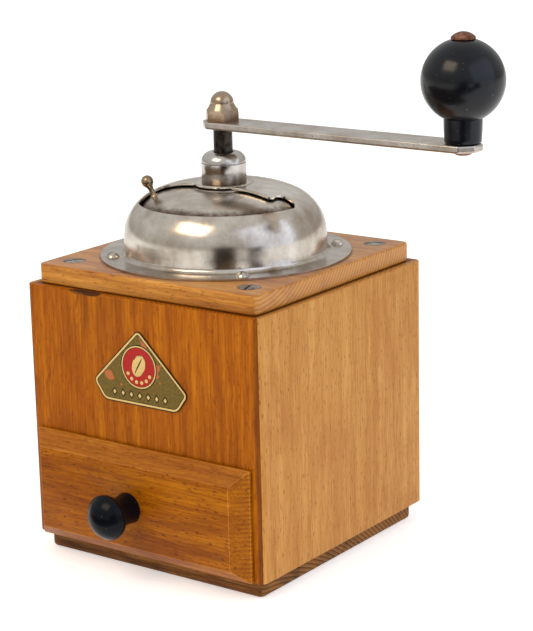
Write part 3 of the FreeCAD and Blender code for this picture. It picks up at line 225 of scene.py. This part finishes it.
def nickel(name, tone, dull, rough, scratch=0.5, spots=0.25,
           grime_ring=None, foot=None, crust="#6A5236", caked=0.75):
    """Nickel plated steel, buffed and then handled for decades.

    Soft cloudy reflections, hair scratches about 0.15 mm wide, and brown pits where damp has sat.
    Dirt gathers outside the radius grime_ring, and a crust creeps up from the level foot."""
    material, tree = new_material(name)
    where = add(tree, "TexCoord").outputs["Object"]
    clouds = add(tree, "TexNoise", {"Vector": where, "Scale": 60.0, "Detail": 5.0, "Roughness": 0.65})
    colour = add(tree, "ValToRGB", {"Fac": clouds.outputs["Fac"]}, stops=[(0.35, tone), (0.72, dull)])
    pits = add(tree, "TexNoise", {"Vector": where, "Scale": 900.0, "Detail": 2.0})
    bitten = add(tree, "ValToRGB", {"Fac": pits.outputs["Fac"]}, stops=[(0.68, 0.0), (0.76, spots)])
    colour = add(tree, "Mix", {0: bitten.outputs[0], 6: colour.outputs[0], 7: linear("#3A2A1C")},
                 data_type="RGBA")
    if grime_ring:
        flat = add(tree, "VectorMath", {0: where, 1: (1.0, 1.0, 0.0)}, operation="MULTIPLY")
        reach = add(tree, "VectorMath", {0: flat.outputs[0]}, operation="LENGTH")
        ragged = add(tree, "TexNoise", {"Vector": where, "Scale": 260.0, "Detail": 5.0, "Roughness": 0.75})
        pushed = add(tree, "Math", {0: ragged.outputs["Fac"], 1: 7.0 * MM, 2: reach.outputs["Value"]},
                     operation="MULTIPLY_ADD")
        band = add(tree, "MapRange", {"Value": pushed.outputs[0], "From Min": grime_ring + 2.0 * MM,
                                      "From Max": grime_ring + 5.0 * MM, "To Max": 0.9})
        colour = add(tree, "Mix", {0: band.outputs[0], 6: colour.outputs[2], 7: linear("#4A3018")},
                     data_type="RGBA")
    if foot is not None:
        level = add(tree, "SeparateXYZ", {"Vector": where})
        creep = add(tree, "TexNoise", {"Vector": where, "Scale": 320.0, "Detail": 5.0, "Roughness": 0.75})
        raised = add(tree, "Math", {0: creep.outputs["Fac"], 1: -6.0 * MM, 2: level.outputs["Z"]},
                     operation="MULTIPLY_ADD")
        skirt = add(tree, "MapRange", {"Value": raised.outputs[0], "From Min": foot + 0.8 * MM,
                                       "From Max": foot - 2.5 * MM, "To Max": caked})
        colour = add(tree, "Mix", {0: skirt.outputs[0], 6: colour.outputs[2], 7: linear(crust)},
                     data_type="RGBA")
    # scratches: the thin borders of long slanting cells
    slant = add(tree, "Mapping", {"Vector": where, "Rotation": (0.5, 0.3, 0.9),
                                  "Scale": (900.0, 130.0, 420.0)})
    cells = add(tree, "TexVoronoi", {"Vector": slant.outputs[0], "Scale": 0.35},
                feature="DISTANCE_TO_EDGE")
    hairs = add(tree, "ValToRGB", {"Fac": cells.outputs["Distance"]}, stops=[(0.0, 0.0), (0.045, 1.0)])
    micro = add(tree, "TexNoise", {"Vector": slant.outputs[0], "Scale": 2.0, "Detail": 3.0})
    height = add(tree, "Math", {0: hairs.outputs[0], 1: scratch, 2: micro.outputs["Fac"]},
                 operation="MULTIPLY_ADD")
    relief = add(tree, "Bump", {"Height": height.outputs[0], "Strength": 0.08, "Distance": 0.0001})
    haze = add(tree, "MapRange", {"Value": clouds.outputs["Fac"], "From Min": 0.3, "From Max": 0.75,
                                  "To Min": rough, "To Max": rough + 0.08})
    shader = add(tree, "BsdfPrincipled", {
        "Base Color": colour.outputs[2], "Metallic": 1.0, "Roughness": haze.outputs[0],
        "Normal": relief.outputs[0]})
    add(tree, "OutputMaterial", {"Surface": shader.outputs[0]})
    return material


def aged_metal(name, tone, dark, rust, rough, share=0.5, grain=260.0):
    """Steel, iron or brass gone dull: a mottled skin, with rust or dirt in patches a few
    millimetres wide."""
    material, tree = new_material(name)
    where = add(tree, "TexCoord").outputs["Object"]
    mottle = add(tree, "TexNoise", {"Vector": where, "Scale": grain, "Detail": 5.0, "Roughness": 0.7})
    colour = add(tree, "ValToRGB", {"Fac": mottle.outputs["Fac"]}, stops=[(0.36, dark), (0.62, tone)])
    patches = add(tree, "TexNoise", {"Vector": where, "Scale": grain * 1.7, "Detail": 6.0,
                                     "Roughness": 0.75})
    rusty = add(tree, "ValToRGB", {"Fac": patches.outputs["Fac"]}, stops=[(0.5, 0.0), (0.66, share)])
    colour = add(tree, "Mix", {0: rusty.outputs[0], 6: colour.outputs[0], 7: linear(rust)},
                 data_type="RGBA")
    haze = add(tree, "MapRange", {"Value": rusty.outputs[0], "To Min": rough, "To Max": 0.85})
    relief = add(tree, "Bump", {"Height": patches.outputs["Fac"], "Strength": 0.35, "Distance": 0.0002})
    shader = add(tree, "BsdfPrincipled", {
        "Base Color": colour.outputs[2], "Metallic": 1.0, "Roughness": haze.outputs[0],
        "Normal": relief.outputs[0]})
    add(tree, "OutputMaterial", {"Surface": shader.outputs[0]})
    return material


def black_lacquer(name, shine):
    """Black lacquer on turned wood: deep and glossy, with a faint ripple and small knocks that show
    the ground."""
    material, tree = new_material(name)
    where = add(tree, "TexCoord").outputs["Object"]
    knocks = add(tree, "TexNoise", {"Vector": where, "Scale": 850.0, "Detail": 2.0, "Roughness": 0.6})
    chips = add(tree, "ValToRGB", {"Fac": knocks.outputs["Fac"]}, stops=[(0.72, 0.0), (0.77, 0.55)])
    colour = add(tree, "Mix", {0: chips.outputs[0], 6: linear("#070A10"), 7: linear("#8C8273")},
                 data_type="RGBA")
    ripple = add(tree, "TexNoise", {"Vector": where, "Scale": 260.0, "Detail": 3.0})
    relief = add(tree, "Bump", {"Height": ripple.outputs["Fac"], "Strength": 0.12, "Distance": 0.0003})
    smears = add(tree, "TexNoise", {"Vector": where, "Scale": 120.0, "Detail": 4.0})
    haze = add(tree, "MapRange", {"Value": smears.outputs["Fac"], "From Min": 0.35, "From Max": 0.7,
                                  "To Min": 0.18, "To Max": 0.3})
    shader = add(tree, "BsdfPrincipled", {
        "Base Color": colour.outputs[2], "Roughness": haze.outputs[0], "Normal": relief.outputs[0],
        "Specular IOR Level": shine})
    add(tree, "OutputMaterial", {"Surface": shader.outputs[0]})
    return material


def printed_tin(name, ink, speck, share, worn_through=0.0):
    """Litho ink on tinplate: a fine speckle of bronze grains, and worn places where the copper wash
    shows."""
    material, tree = new_material(name)
    where = add(tree, "TexCoord").outputs["Object"]
    grains = add(tree, "TexNoise", {"Vector": where, "Scale": 1500.0, "Detail": 2.0})
    dots = add(tree, "ValToRGB", {"Fac": grains.outputs["Fac"]}, stops=[(0.42, 0.0), (0.6, share)])
    colour = add(tree, "Mix", {0: dots.outputs[0], 6: linear(ink), 7: linear(speck)}, data_type="RGBA")
    rubbed = add(tree, "TexNoise", {"Vector": where, "Scale": 150.0, "Detail": 2.0, "Roughness": 0.4})
    bare = add(tree, "ValToRGB", {"Fac": rubbed.outputs["Fac"]},
               stops=[(0.655, 0.0), (0.67, worn_through)])
    colour = add(tree, "Mix", {0: bare.outputs[0], 6: colour.outputs[2], 7: linear("#B4622F")},
                 data_type="RGBA")
    shader = add(tree, "BsdfPrincipled", {
        "Base Color": colour.outputs[2], "Roughness": 0.38, "Coat Weight": 0.4, "Coat Roughness": 0.25})
    add(tree, "OutputMaterial", {"Surface": shader.outputs[0]})
    return material


# the palest, the middle and the deepest fibre of each board
FRONT = ("#B86E06", "#A25703", "#824202")
DRAWER = ("#B26C04", "#9A5602", "#7C3F01")
LIT_BEVEL = ("#B67420", "#A46014", "#88480A")
RUBBED = ("#C48638", "#AC6A24", "#8E5014")
LIT_SIDE = ("#CB954E", "#BE8440", "#A96E2E")
LID = ("#D09238", "#BC7A24", "#945612")
PLAIN = ("#D8B88C", "#C9A472", "#B08A58")
DARK = ("#A07038", "#7C4E22", "#4A2A12")
TORN = ("#8A5A2A", "#5A3414", "#2A1406")

FINISH = {
    # orange brown and close grained, with dark drawn into the corners and painted shade on the ledge under
    # the lid
    "front_panel": beech("beech, amber shellac", "Z", (30, 95, 0), FRONT, 0.22, "#8A4404", flecks=0.45,
                         grime_and_shade=wall_dirt_and_shade),
    # painted paler than the front, for the window light that falls on this side
    "right_panel": beech("beech, shellac, painted lighter for the lit side", "Z", (90, 40, 0), LIT_SIDE, 0.25, "#A8682A", gloss=0.4,
                         grime_and_shade=ledge_dirt_and_shade),
    # the same amber with the grain lying across, and more dark rays
    "drawer_front": beech("beech, amber shellac, long grain", "X", (0, 70, 60), DRAWER, 0.3, "#6A2E04",
                          flecks=0.8),
    # cut slantwise and peppered with pores, and painted paler for the light that falls on the upturned
    # bevel
    "drawer_bevel": beech("beech, amber shellac, cut across the rays", "X", (0, 70, 60), LIT_BEVEL, 0.15,
                          "#8A4E14", flecks=0.42, pores=0.56),
    # bare pale fibres where hands have gone through the shellac
    "rubbed": beech("beech, rubbed bare", "X", (0, 70, 60), RUBBED, 0.1, "#8A4E18", gloss=0.45),
    # rubbed smooth, so it carries the room's light, with dirt and painted shade round the flange and the
    # screws
    "top_board": beech("beech, rubbed lid", "X", (0, 55, -160), LID, 0.45, "#8A4A1E", gloss=0.27,
                       shine=0.5, grime_and_shade=lid_dirt_and_shade),
    # dark brown and matt, with nearly black patches
    "base_board": beech("beech, dark stain", "X", (0, 60, 90), DARK, 0.35, "#1C0E06", gloss=0.5),
    # pale and dry, with no lacquer on it
    "raw": beech("beech, planed and bare", "Z", (50, 60, 0), PLAIN, 0.3, "#B08850", gloss=0.6,
                 flecks=0.4),
    # dark brown and matt, its deepest fibre nearly black
    "torn": beech("beech, torn fibres", "X", (0, 40, 20), TORN, 0.4, "#1C0E06", gloss=0.7, flecks=0.8),
    # buffed and cloudy, grey with a little warmth
    "dome": nickel("nickel plate, buffed", "#D6CFC4", "#A09180", 0.17, foot=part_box("dome")[0].z,
                   caked=0.3),
    # duller than the dome, and brown where it slides under the mouth's edge
    "shutter": nickel("nickel plate, rubbed and grimed", "#D2CABF", "#A89A86", 0.22,
                      grime_ring=32.5 * MM),
    # bright and mirror-like, with brown pits
    "bearing_cap": nickel("nickel plate, bright", "#CCC8C4", "#978B7A", 0.16, spots=0.95,
                          foot=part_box("bearing_cap")[0].z, crust="#4E3822"),
    # satin, with crossing scratches
    "crank_arm": nickel("nickel plate, scratched", "#CAC4BC", "#97897A", 0.26, scratch=1.2, spots=0.6),
    # rough, dark grey, with brown coffee dust in it
    "iron": aged_metal("cast iron, grey", "#55524E", "#2C2A28", "#3B2A20", 0.55, share=0.3),
    # dull yellow
    "brass": aged_metal("brass, drawn", "#B08D4C", "#7F6230", "#5A4222", 0.32, share=0.3),
    # grey heads with brown rust in spots
    "screw": aged_metal("steel screw, aged", "#C0B7AA", "#6E6254", "#3C2614", 0.3, share=0.6,
                        grain=420.0),
    # nearly black, with a dull shine
    "spindle": aged_metal("steel, browned", "#48423C", "#1E1A18", "#3A2414", 0.36, share=0.5),
    # yellowed, with rust round its foot
    "crank_nut": nickel("nickel plate, yellowed", "#B4A088", "#705C48", 0.2, scratch=0.8, spots=0.9,
                        foot=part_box("crank_nut")[0].z, crust="#553419"),
    # browned by fingers
    "stud": nickel("nickel plate, worn brown", "#BCA98E", "#6E5A44", 0.22, scratch=0.8, spots=0.9),
    # reddish brown all over
    "pin": aged_metal("steel rivet, rusted", "#A0725E", "#5B3526", "#5E3422", 0.45, share=0.6,
                      grain=380.0),
    # deep black with clear highlights
    "lacquer": black_lacquer("black lacquer on wood, glossy", 0.3),
    # the same black, with its gloss taken off by fingers
    "pull_lacquer": black_lacquer("black lacquer on wood, handled", 0.12),
    # flat inks with a faint bronze sparkle under a thin varnish
    "print": printed_tin("tinplate, olive gold print", "#5F4C10", "#86702A", 0.6, worn_through=1.0),
    "red": printed_tin("tinplate, red print", "#B01008", "#8E0C06", 0.4),
    "cream": printed_tin("tinplate, cream print", "#D9BC72", "#C2A45C", 0.5),
    "black": printed_tin("tinplate, black print", "#1C140A", "#2C2010", 0.4),
}
BY_SLOT = {
    "case_wood": "front_panel", "lid_wood": "top_board", "dark_wood": "base_board", "raw_wood": "raw",
    "black_lacquer": "lacquer", "nickel": "dome", "iron": "iron", "bush_brass": "brass",
    "screw_steel": "screw",
    "badge_print": "print",
}
# pieces that have another finish than the rest of their slot
OWN = {"left_panel": "right_panel", "back_panel": "front_panel", "knob_pin": "pin", "spindle": "spindle",
       "shutter_knob": "stud"}
for entry in frame["record"]["subparts"]:
    node = entry["node"]
    chosen = node if node in FINISH else OWN.get(node, BY_SLOT[entry["material_slot"]])
    slots = NODES[node].data.materials
    slots.clear()
    slots.append(FINISH[chosen])


# ---------------------------------------------------------------- modelling helpers

def open_edit(piece):
    bpy.ops.object.select_all(action="DESELECT")
    piece.select_set(True)
    bpy.context.view_layer.objects.active = piece
    bpy.ops.object.mode_set(mode="EDIT")


def pick_edges(piece, test, least=25):
    """Selects only the edges that turn by at least so many degrees and whose two ends pass the test."""
    bpy.ops.mesh.select_mode(type="EDGE")
    bpy.ops.mesh.select_all(action="DESELECT")
    for edge in bmesh.from_edit_mesh(piece.data).edges:
        sharp = len(edge.link_faces) == 2 and edge.calc_face_angle(0.0) > math.radians(least)
        edge.select_set(sharp and all(test(end.co) for end in edge.verts))
    bmesh.update_edit_mesh(piece.data)


def close_edit(piece, smooth=35):
    bpy.ops.mesh.select_all(action="SELECT")
    bpy.ops.mesh.normals_make_consistent(inside=False)
    bpy.ops.object.mode_set(mode="OBJECT")
    bpy.ops.object.transform_apply(location=True, rotation=True, scale=True)
    bpy.ops.object.shade_smooth_by_angle(angle=math.radians(smooth))


def seat(piece, finish, body, slot, *nodes):
    """Gives a new piece its finish and the body it rides on, and lets it stand for carried-over nodes."""
    piece.data.materials.clear()
    for one in finish if isinstance(finish, (list, tuple)) else [finish]:
        piece.data.materials.append(FINISH[one])
    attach(piece, body)
    if nodes:
        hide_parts(*nodes)
    return piece


def turned(name, foot, axis, stops, sides=72):
    """A lathe turning: a disc at the foot, drawn out along the axis through (radius, height) stops."""
    axis = Vector(axis).normalized()
    foot = Vector(foot)
    radius, height = stops[0]
    bpy.ops.object.select_all(action="DESELECT")
    bpy.ops.mesh.primitive_circle_add(vertices=sides, radius=radius, fill_type="NGON",
                                      location=foot + axis * height,
                                      rotation=axis.to_track_quat("Z", "Y").to_euler())
    piece = bpy.context.active_object
    piece.name = name
    bpy.ops.object.transform_apply(location=True, rotation=True, scale=True)
    open_edit(piece)
    bpy.ops.mesh.select_all(action="SELECT")
    for reach, level in stops[1:]:
        bpy.ops.mesh.extrude_region_move(TRANSFORM_OT_translate={"value": axis * (level - height)})
        bpy.ops.transform.resize(value=[reach / radius] * 3, center_override=foot + axis * level)
        radius, height = reach, level
    close_edit(piece)
    return piece


def arc(centre, radius, start, end, steps):
    """Stops on a round: centre and angles from the axis, in (radius, height) and degrees."""
    angles = [math.radians(start + (end - start) * step / steps) for step in range(steps + 1)]
    return [(centre[0] + radius * math.sin(a), centre[1] + radius * math.cos(a)) for a in angles]


def worn_copy(node, width, test, least=25, steps=3):
    """A merged copy of a carried-over piece, with the edges that pass the test rubbed round."""
    piece = bpy.data.objects.new(node + "_worn", NODES[node].data.copy())
    bpy.context.scene.collection.objects.link(piece)
    open_edit(piece)
    bpy.ops.mesh.select_all(action="SELECT")
    bpy.ops.mesh.remove_doubles(threshold=2e-6)
    bpy.ops.mesh.dissolve_limited(angle_limit=math.radians(0.4))
    pick_edges(piece, test, least)
    bpy.ops.mesh.bevel(offset=width, segments=steps, affect="EDGES", clamp_overlap=True)
    close_edit(piece, 30)
    return piece


# ---------------------------------------------------------------- wooden case

def make_case():
    """Walls rubbed round at their top and bottom edges, with a splinter broken out under the lid."""
    low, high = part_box("right_panel")
    outside = high.x - 1.2 * MM

    def on_rim(spot):
        level = abs(spot.z - high.z) < 1e-5 or abs(spot.z - low.z) < 1e-5
        return level and max(abs(spot.x), abs(spot.y)) > outside

    for wall in ("front_panel", "right_panel", "back_panel", "left_panel"):
        piece = worn_copy(wall, 0.8 * MM, on_rim)
        # the side walls take the copy painted paler for the light on that side
        finish = "front_panel" if wall in ("front_panel", "back_panel") else "right_panel"
        seat(piece, finish, "case", "case_wood", wall)
        if wall == "front_panel":
            break_out(piece, high.z)


def break_out(wall, level):
    """A splinter lost from the front wall's top edge: a rough pebble's hollow, with torn fibres in it."""
    left_of_middle = 28.0 * MM
    behind_face = 0.6 * MM
    half_size = (8.5 * MM, 2.6 * MM, 1.5 * MM)
    bpy.ops.object.select_all(action="DESELECT")
    bpy.ops.mesh.primitive_ico_sphere_add(subdivisions=3, radius=1.0,
                                          location=(-left_of_middle, behind_face - WALL, level))
    pebble = bpy.context.active_object
    pebble.scale = half_size
    pebble.data.materials.append(FINISH["torn"])
    bpy.ops.object.transform_apply(location=True, rotation=True, scale=True)
    open_edit(pebble)
    bpy.ops.mesh.select_all(action="SELECT")
    bpy.ops.transform.vertex_random(offset=0.35 * MM, seed=4)
    bpy.ops.object.mode_set(mode="OBJECT")
    cut = wall.modifiers.new("break", "BOOLEAN")
    cut.operation = "DIFFERENCE"
    cut.object = pebble
    cut.material_mode = "TRANSFER"
    bpy.ops.object.select_all(action="DESELECT")
    wall.select_set(True)
    bpy.context.view_layer.objects.active = wall
    bpy.ops.object.modifier_apply(modifier=cut.name)
    bpy.data.objects.remove(pebble)
    bpy.ops.object.shade_smooth_by_angle(angle=math.radians(30))


def make_drawer_front():
    """The drawer's raised board: a top bevel painted paler for the light from above, and every edge rubbed
    through.
    """
    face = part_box("drawer_front")[0].y
    raised = 9 * MM
    rubbed_depth = 7 * MM
    board = worn_copy("drawer_front", 0.45 * MM, lambda spot: spot.y < face + raised)
    # the first finish is the one that every side starts with
    seat(board, ["drawer_front", "drawer_bevel", "rubbed"], "drawer", "case_wood", "drawer_front")
    for side in board.data.polygons:
        across, out, up = [abs(part) for part in side.normal]
        flat = max(across, out, up) > 0.97
        # a bevel leans towards the front and one other way, and an edge leans every way
        bevel = out > 0.6 and (across < 0.05 and up > 0.7 or up < 0.05 and across > 0.7)
        # only the upturned bevel takes the paler finish: painted light from above
        if bevel and side.normal.z > 0.5:
            side.material_index = 1
        elif not flat and not bevel and side.center.y < face + rubbed_depth:
            side.material_index = 2


make_case()
make_drawer_front()


# ---------------------------------------------------------------- turned pieces

def make_grip():
    """The ball grip: a short neck with an eased foot, running into a ball with a flat under the rivet."""
    low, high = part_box("crank_knob")
    ball = (high.x - low.x) / 2
    flat = 4.8 * MM
    neck = 7.6 * MM
    centre = high.z - math.sqrt(ball * ball - flat * flat) - low.z
    first = 180 - math.degrees(math.asin(neck / ball))
    last = math.degrees(math.asin(flat / ball))
    stops = [(neck - 1.0 * MM, 0.0), (neck - 0.5 * MM, 0.25 * MM), (neck - 0.3 * MM, 0.7 * MM),
             (neck - 0.3 * MM, 2.0 * MM), (neck - 0.1 * MM, 5.0 * MM)]
    stops += arc((0.0, centre), ball, first, last, 40)
    foot = ((low.x + high.x) / 2, (low.y + high.y) / 2, low.z)
    seat(turned("ball_grip", foot, (0, 0, 1), stops), "lacquer", "grip", "black_lacquer", "crank_knob")


def make_pull():
    """The drawer's pull: a waisted stalk under a mushroom head with a turned rim."""
    low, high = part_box("drawer_knob")
    head = (high.x - low.x) / 2
    neck = 6.65 * MM
    long = high.y - low.y
    rim_top = 15.0 * MM
    stops = [(neck, 0.0), (neck - 0.3 * MM, 1.5 * MM), (neck - 0.5 * MM, 5.0 * MM),
             (neck - 0.2 * MM, 9.0 * MM), (neck + 0.4 * MM, 10.7 * MM), (head - 1.0 * MM, 11.4 * MM),
             (head - 0.3 * MM, 12.0 * MM), (head, 13.0 * MM), (head, 13.9 * MM),
             (head - 0.45 * MM, 14.5 * MM), (head - 0.6 * MM, 14.7 * MM)]
    crown = head - 0.8 * MM
    rise = long - rim_top
    bend = (crown * crown + rise * rise) / (2 * rise)
    stops += arc((0.0, long - bend), bend, math.degrees(math.asin(crown / bend)), 1.0, 14)
    foot = ((low.x + high.x) / 2, high.y, (low.z + high.z) / 2)
    seat(turned("drawer_pull", foot, (0, -1, 0), stops), "pull_lacquer", "drawer", "black_lacquer",
         "drawer_knob")


def make_cap():
    """The bearing cap: a bright tube with a scribed line, a round shoulder and a recess round the
    spindle."""
    low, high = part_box("bearing_cap")
    wide = (high.x - low.x) / 2
    tall = high.z - low.z
    bend = 4.4 * MM
    recess = 4.4 * MM
    stops = [(wide - 0.2 * MM, 0.0), (wide, 0.3 * MM), (wide, tall - bend - 0.35 * MM),
             (wide - 0.25 * MM, tall - bend - 0.15 * MM)]
    stops += arc((wide - bend, tall - bend), bend, 88, 0, 12)
    stops += [(recess + 0.2 * MM, tall - 0.1 * MM), (recess, tall - 0.4 * MM), (recess, tall - 2.5 * MM)]
    seat(turned("spindle_cap", (0, 0, low.z), (0, 0, 1), stops), "bearing_cap", "case", "nickel",
         "bearing_cap")


def make_hopper():
    """The dome with the pressed edge of its mouth rolled over."""
    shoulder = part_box("dome")[1].z - 12 * MM
    cap_seat = 12.6 * MM
    mouth = 37.5 * MM

    def on_mouth(spot):
        return spot.z > shoulder and cap_seat < math.hypot(spot.x, spot.y) < mouth

    dome = worn_copy("dome", 0.25 * MM, on_mouth, least=40, steps=2)
    seat(dome, "dome", "case", "nickel", "dome")


make_grip()
make_pull()
make_cap()
make_hopper()


# ---------------------------------------------------------------- shield

def plate(name, corners, round_off, low, high):
    """A flat plate in the front's plane: its corners rounded, then drawn out from y = high to y = low."""
    bpy.ops.object.select_all(action="DESELECT")
    bpy.ops.mesh.primitive_circle_add(vertices=len(corners), radius=1.0, fill_type="NGON",
                                      location=(0, 0, 0))
    piece = bpy.context.active_object
    piece.name = name
    for point, (x, z) in zip(piece.data.vertices, corners):
        point.co = (x, high, z)
    open_edit(piece)
    bpy.ops.mesh.select_all(action="SELECT")
    if round_off:
        bpy.ops.mesh.bevel(offset=round_off, segments=5, affect="VERTICES")
        bpy.ops.mesh.select_all(action="SELECT")
    bpy.ops.mesh.extrude_region_move(TRANSFORM_OT_translate={"value": (0.0, low - high, 0.0)})
    return piece


def make_shield():
    """The tin shield: black, cream and black border lines inset one inside the other round an olive
    field. Its sharp corners start outside the carried-over badge, and their rounding brings them
    back to within a millimetre of it."""
    low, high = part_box("badge")
    half = (high.x - low.x) / 2 + 1.2 * MM
    tip = high.z + 1.0 * MM
    shoulder = low.z + 8.0 * MM
    corners = [(0.0, tip), (-half, shoulder), (-half + 5.6 * MM, low.z), (half - 5.2 * MM, low.z),
               (half + 0.6 * MM, shoulder)]
    shield = plate("shield", corners, 2.2 * MM, low.y, high.y)
    seat_inks(shield, ["black", "cream", "black", "print"], (0.4 * MM, 0.8 * MM, 0.3 * MM))
    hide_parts("badge")


def seat_inks(piece, inks, lines):
    """Border lines of the given widths, inset from the selected front face, each in its own ink."""
    for ink in inks:
        piece.data.materials.append(FINISH[ink])
    for index, wide in enumerate(lines):
        piece.active_material_index = index
        bpy.ops.object.material_slot_assign()
        bpy.ops.mesh.inset(thickness=wide)
    piece.active_material_index = len(lines)
    bpy.ops.object.material_slot_assign()
    close_edit(piece)
    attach(piece, "case")


def on_circle(centre, radius, steps):
    """Places on a circle in the front's plane, clockwise from the top."""
    angles = [math.tau * step / steps for step in range(steps)]
    return [(centre[0] + radius * math.sin(a), centre[1] + radius * math.cos(a)) for a in angles]


def make_roundel():
    """A red disc in a cream ring, with a crescent of cream beads under one plain coffee bean, and a
    row of lozenges along the shield's foot."""
    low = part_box("badge")[0]
    centre = (0.0, low.z + 16.4 * MM)
    print_face = low.y - 0.12 * MM
    roundel = plate("roundel", on_circle(centre, 9.3 * MM, 64), 0.0, print_face, low.y)
    seat_inks(roundel, ["black", "cream", "black", "red"], (0.35 * MM, 0.55 * MM, 0.25 * MM))
    crescent = 6.5 * MM
    for index, turn in enumerate(range(-60, 61, 24)):
        a = math.radians(180 + turn)
        bead((centre[0] + crescent * math.sin(a), centre[1] + crescent * math.cos(a)), index, print_face)
    row = low.z + 4.3 * MM
    spacing = 4.4 * MM
    for index in range(7):
        lozenge((index - 3) * spacing, row, index, low.y)
    make_bean(centre, print_face)


def bead(place, index, face):
    dot = plate("shield_bead_%d" % index, on_circle(place, 0.8 * MM, 16), 0.0, face - 0.08 * MM, face)
    seat_inks(dot, ["cream"], ())


def lozenge(x, z, index, face):
    """A little four-cornered mark in black with a cream heart."""
    wide = 1.5 * MM
    tall = 1.9 * MM
    mark = plate("shield_lozenge_%d" % index, [(x, z + tall), (x - wide, z), (x, z - tall), (x + wide, z)],
                 0.0, face - 0.06 * MM, face)
    seat_inks(mark, ["black", "cream"], (0.5 * MM,))


def make_bean(centre, face):
    """A coffee bean seen from its flat side: an oval loaf with a dark seam, both leaning."""
    above_centre = 0.6 * MM
    for name, size, ink, lean in (("shield_bean", (3.3, 0.28, 4.9), "cream", 24.0),
                                  ("shield_bean_seam", (0.5, 0.36, 4.5), "black", 30.0)):
        bpy.ops.object.select_all(action="DESELECT")
        bpy.ops.mesh.primitive_uv_sphere_add(segments=32, ring_count=16, radius=1.0,
                                             location=(centre[0], face, centre[1] + above_centre),
                                             rotation=(0.0, math.radians(lean), 0.0))
        piece = bpy.context.active_object
        piece.name = name
        piece.scale = [MM * part for part in size]
        bpy.ops.object.transform_apply(location=True, rotation=True, scale=True)
        open_edit(piece)
        bpy.ops.mesh.select_all(action="SELECT")
        bpy.ops.mesh.bisect(plane_co=(0.0, face, 0.0), plane_no=(0.0, 1.0, 0.0), use_fill=True,
                            clear_outer=True)
        close_edit(piece)
        seat(piece, ink, "case", "badge_print")


make_shield()
make_roundel()


# ---------------------------------------------------------------- camera, light and floor

CAMERA_AT = (0.51242, -0.67271, 0.31791)
CAMERA_TURN = math.radians(36.18)
CAMERA_DOWN = math.radians(14.62)
CAMERA_ROLL = math.radians(-1.318)
CAMERA_LENS = 116.57
LIT_MIDDLE = Vector((0.0, 0.0, 0.12))
TABLE = 1 * MM


def make_camera():
    camera_data = bpy.data.cameras.new("camera")
    camera_data.lens = CAMERA_LENS
    camera_data.sensor_width = 36.0
    camera_data.clip_end = 50.0
    camera = bpy.data.objects.new("camera", camera_data)
    turn = Matrix.Rotation(CAMERA_TURN, 4, "Z")
    tilt = Matrix.Rotation(math.pi / 2 - CAMERA_DOWN, 4, "X")
    roll = Matrix.Rotation(CAMERA_ROLL, 4, "Z")
    camera.matrix_world = Matrix.Translation(CAMERA_AT) @ turn @ tilt @ roll
    bpy.context.scene.collection.objects.link(camera)
    bpy.context.scene.camera = camera


def make_world():
    """A white room to the camera; to the metal, a sky that falls off from the ceiling to the
    skirting."""
    world = bpy.data.worlds.new("studio")
    world.use_nodes = True
    tree = world.node_tree
    tree.nodes.clear()
    way = add(tree, "TexCoord")
    split = add(tree, "SeparateXYZ", {"Vector": way.outputs["Generated"]})
    fall = add(tree, "ValToRGB", {"Fac": split.outputs["Z"]},
               stops=[(0.0, "#D2CBC2"), (0.3, "#F2F2F2"), (1.0, "#FFFFFF")])
    room = add(tree, "Background", {"Color": fall.outputs[0], "Strength": 0.8})
    sweep = add(tree, "Background", {"Color": linear("#FFFFFF"), "Strength": 1.0})
    seen = add(tree, "LightPath")
    both = add(tree, "MixShader", {0: seen.outputs["Is Camera Ray"], 1: room.outputs[0],
                                   2: sweep.outputs[0]})
    add(tree, "OutputWorld", {"Surface": both.outputs[0]})
    bpy.context.scene.world = world
    bpy.context.scene.view_settings.view_transform = "Standard"


def softbox(name, place, wide, tall, power, colour):
    """A soft rectangular lamp at the place, turned to the middle of the mill."""
    data = bpy.data.lights.new(name, "AREA")
    data.shape = "RECTANGLE"
    data.size = wide
    data.size_y = tall
    data.energy = power
    data.color = linear(colour)[:3]
    lamp = bpy.data.objects.new(name, data)
    turn = (LIT_MIDDLE - Vector(place)).to_track_quat("-Z", "Y")
    lamp.matrix_world = Matrix.Translation(place) @ turn.to_matrix().to_4x4()
    bpy.context.scene.collection.objects.link(lamp)


def card(name, low, high, colour):
    """A plain block between two corners, which only reflections see: a table top, or a piece of
    furniture."""
    bpy.ops.mesh.primitive_cube_add(size=1.0, location=(0.0, 0.0, 0.0))
    block = bpy.context.active_object
    block.name = name
    low = Vector(low)
    high = Vector(high)
    block.data.transform(Matrix.Translation((low + high) / 2) @ Matrix.Diagonal((*(high - low), 1.0)))
    block.visible_camera = False
    block.visible_shadow = False
    block.visible_diffuse = False
    material, tree = new_material(name + " card")
    shader = add(tree, "Emission", {"Color": linear(colour), "Strength": 1.0})
    add(tree, "OutputMaterial", {"Surface": shader.outputs[0]})
    block.data.materials.append(material)


def make_stage():
    make_camera()
    make_world()
    softbox("window", (1.15, 0.0, 0.65), 1.5, 1.2, 5.6, "#C8DAFF")
    softbox("lamp", (-0.15, -0.85, 1.0), 0.7, 0.5, 5.2, "#FFE8CC")
    card("dark_table", (0.24, -1.1, 0.0), (0.9, -0.3, TABLE), "#120F0D")
    card("brown_table", (-0.85, -0.75, 0.0), (0.24, -0.13, TABLE), "#6A543A")
    card("dark_chair", (0.42, -0.98, 0.0), (0.68, -0.62, 0.24), "#0E0C0B")
    card("dark_bench", (0.85, -0.46, 0.0), (1.0, -0.22, 0.2), "#15120F")
    bpy.ops.mesh.primitive_plane_add(size=12.0, location=(0.0, 0.0, 0.0))
    floor = bpy.context.active_object
    floor.name = "floor"
    material, tree = new_material("matt white paper sweep")
    shader = add(tree, "BsdfPrincipled", {
        "Base Color": linear("#F4F3F0"), "Roughness": 0.9, "Emission Color": linear("#FFFFFF"),
        "Emission Strength": 0.45})
    add(tree, "OutputMaterial", {"Surface": shader.outputs[0]})
    floor.data.materials.append(material)


make_stage()
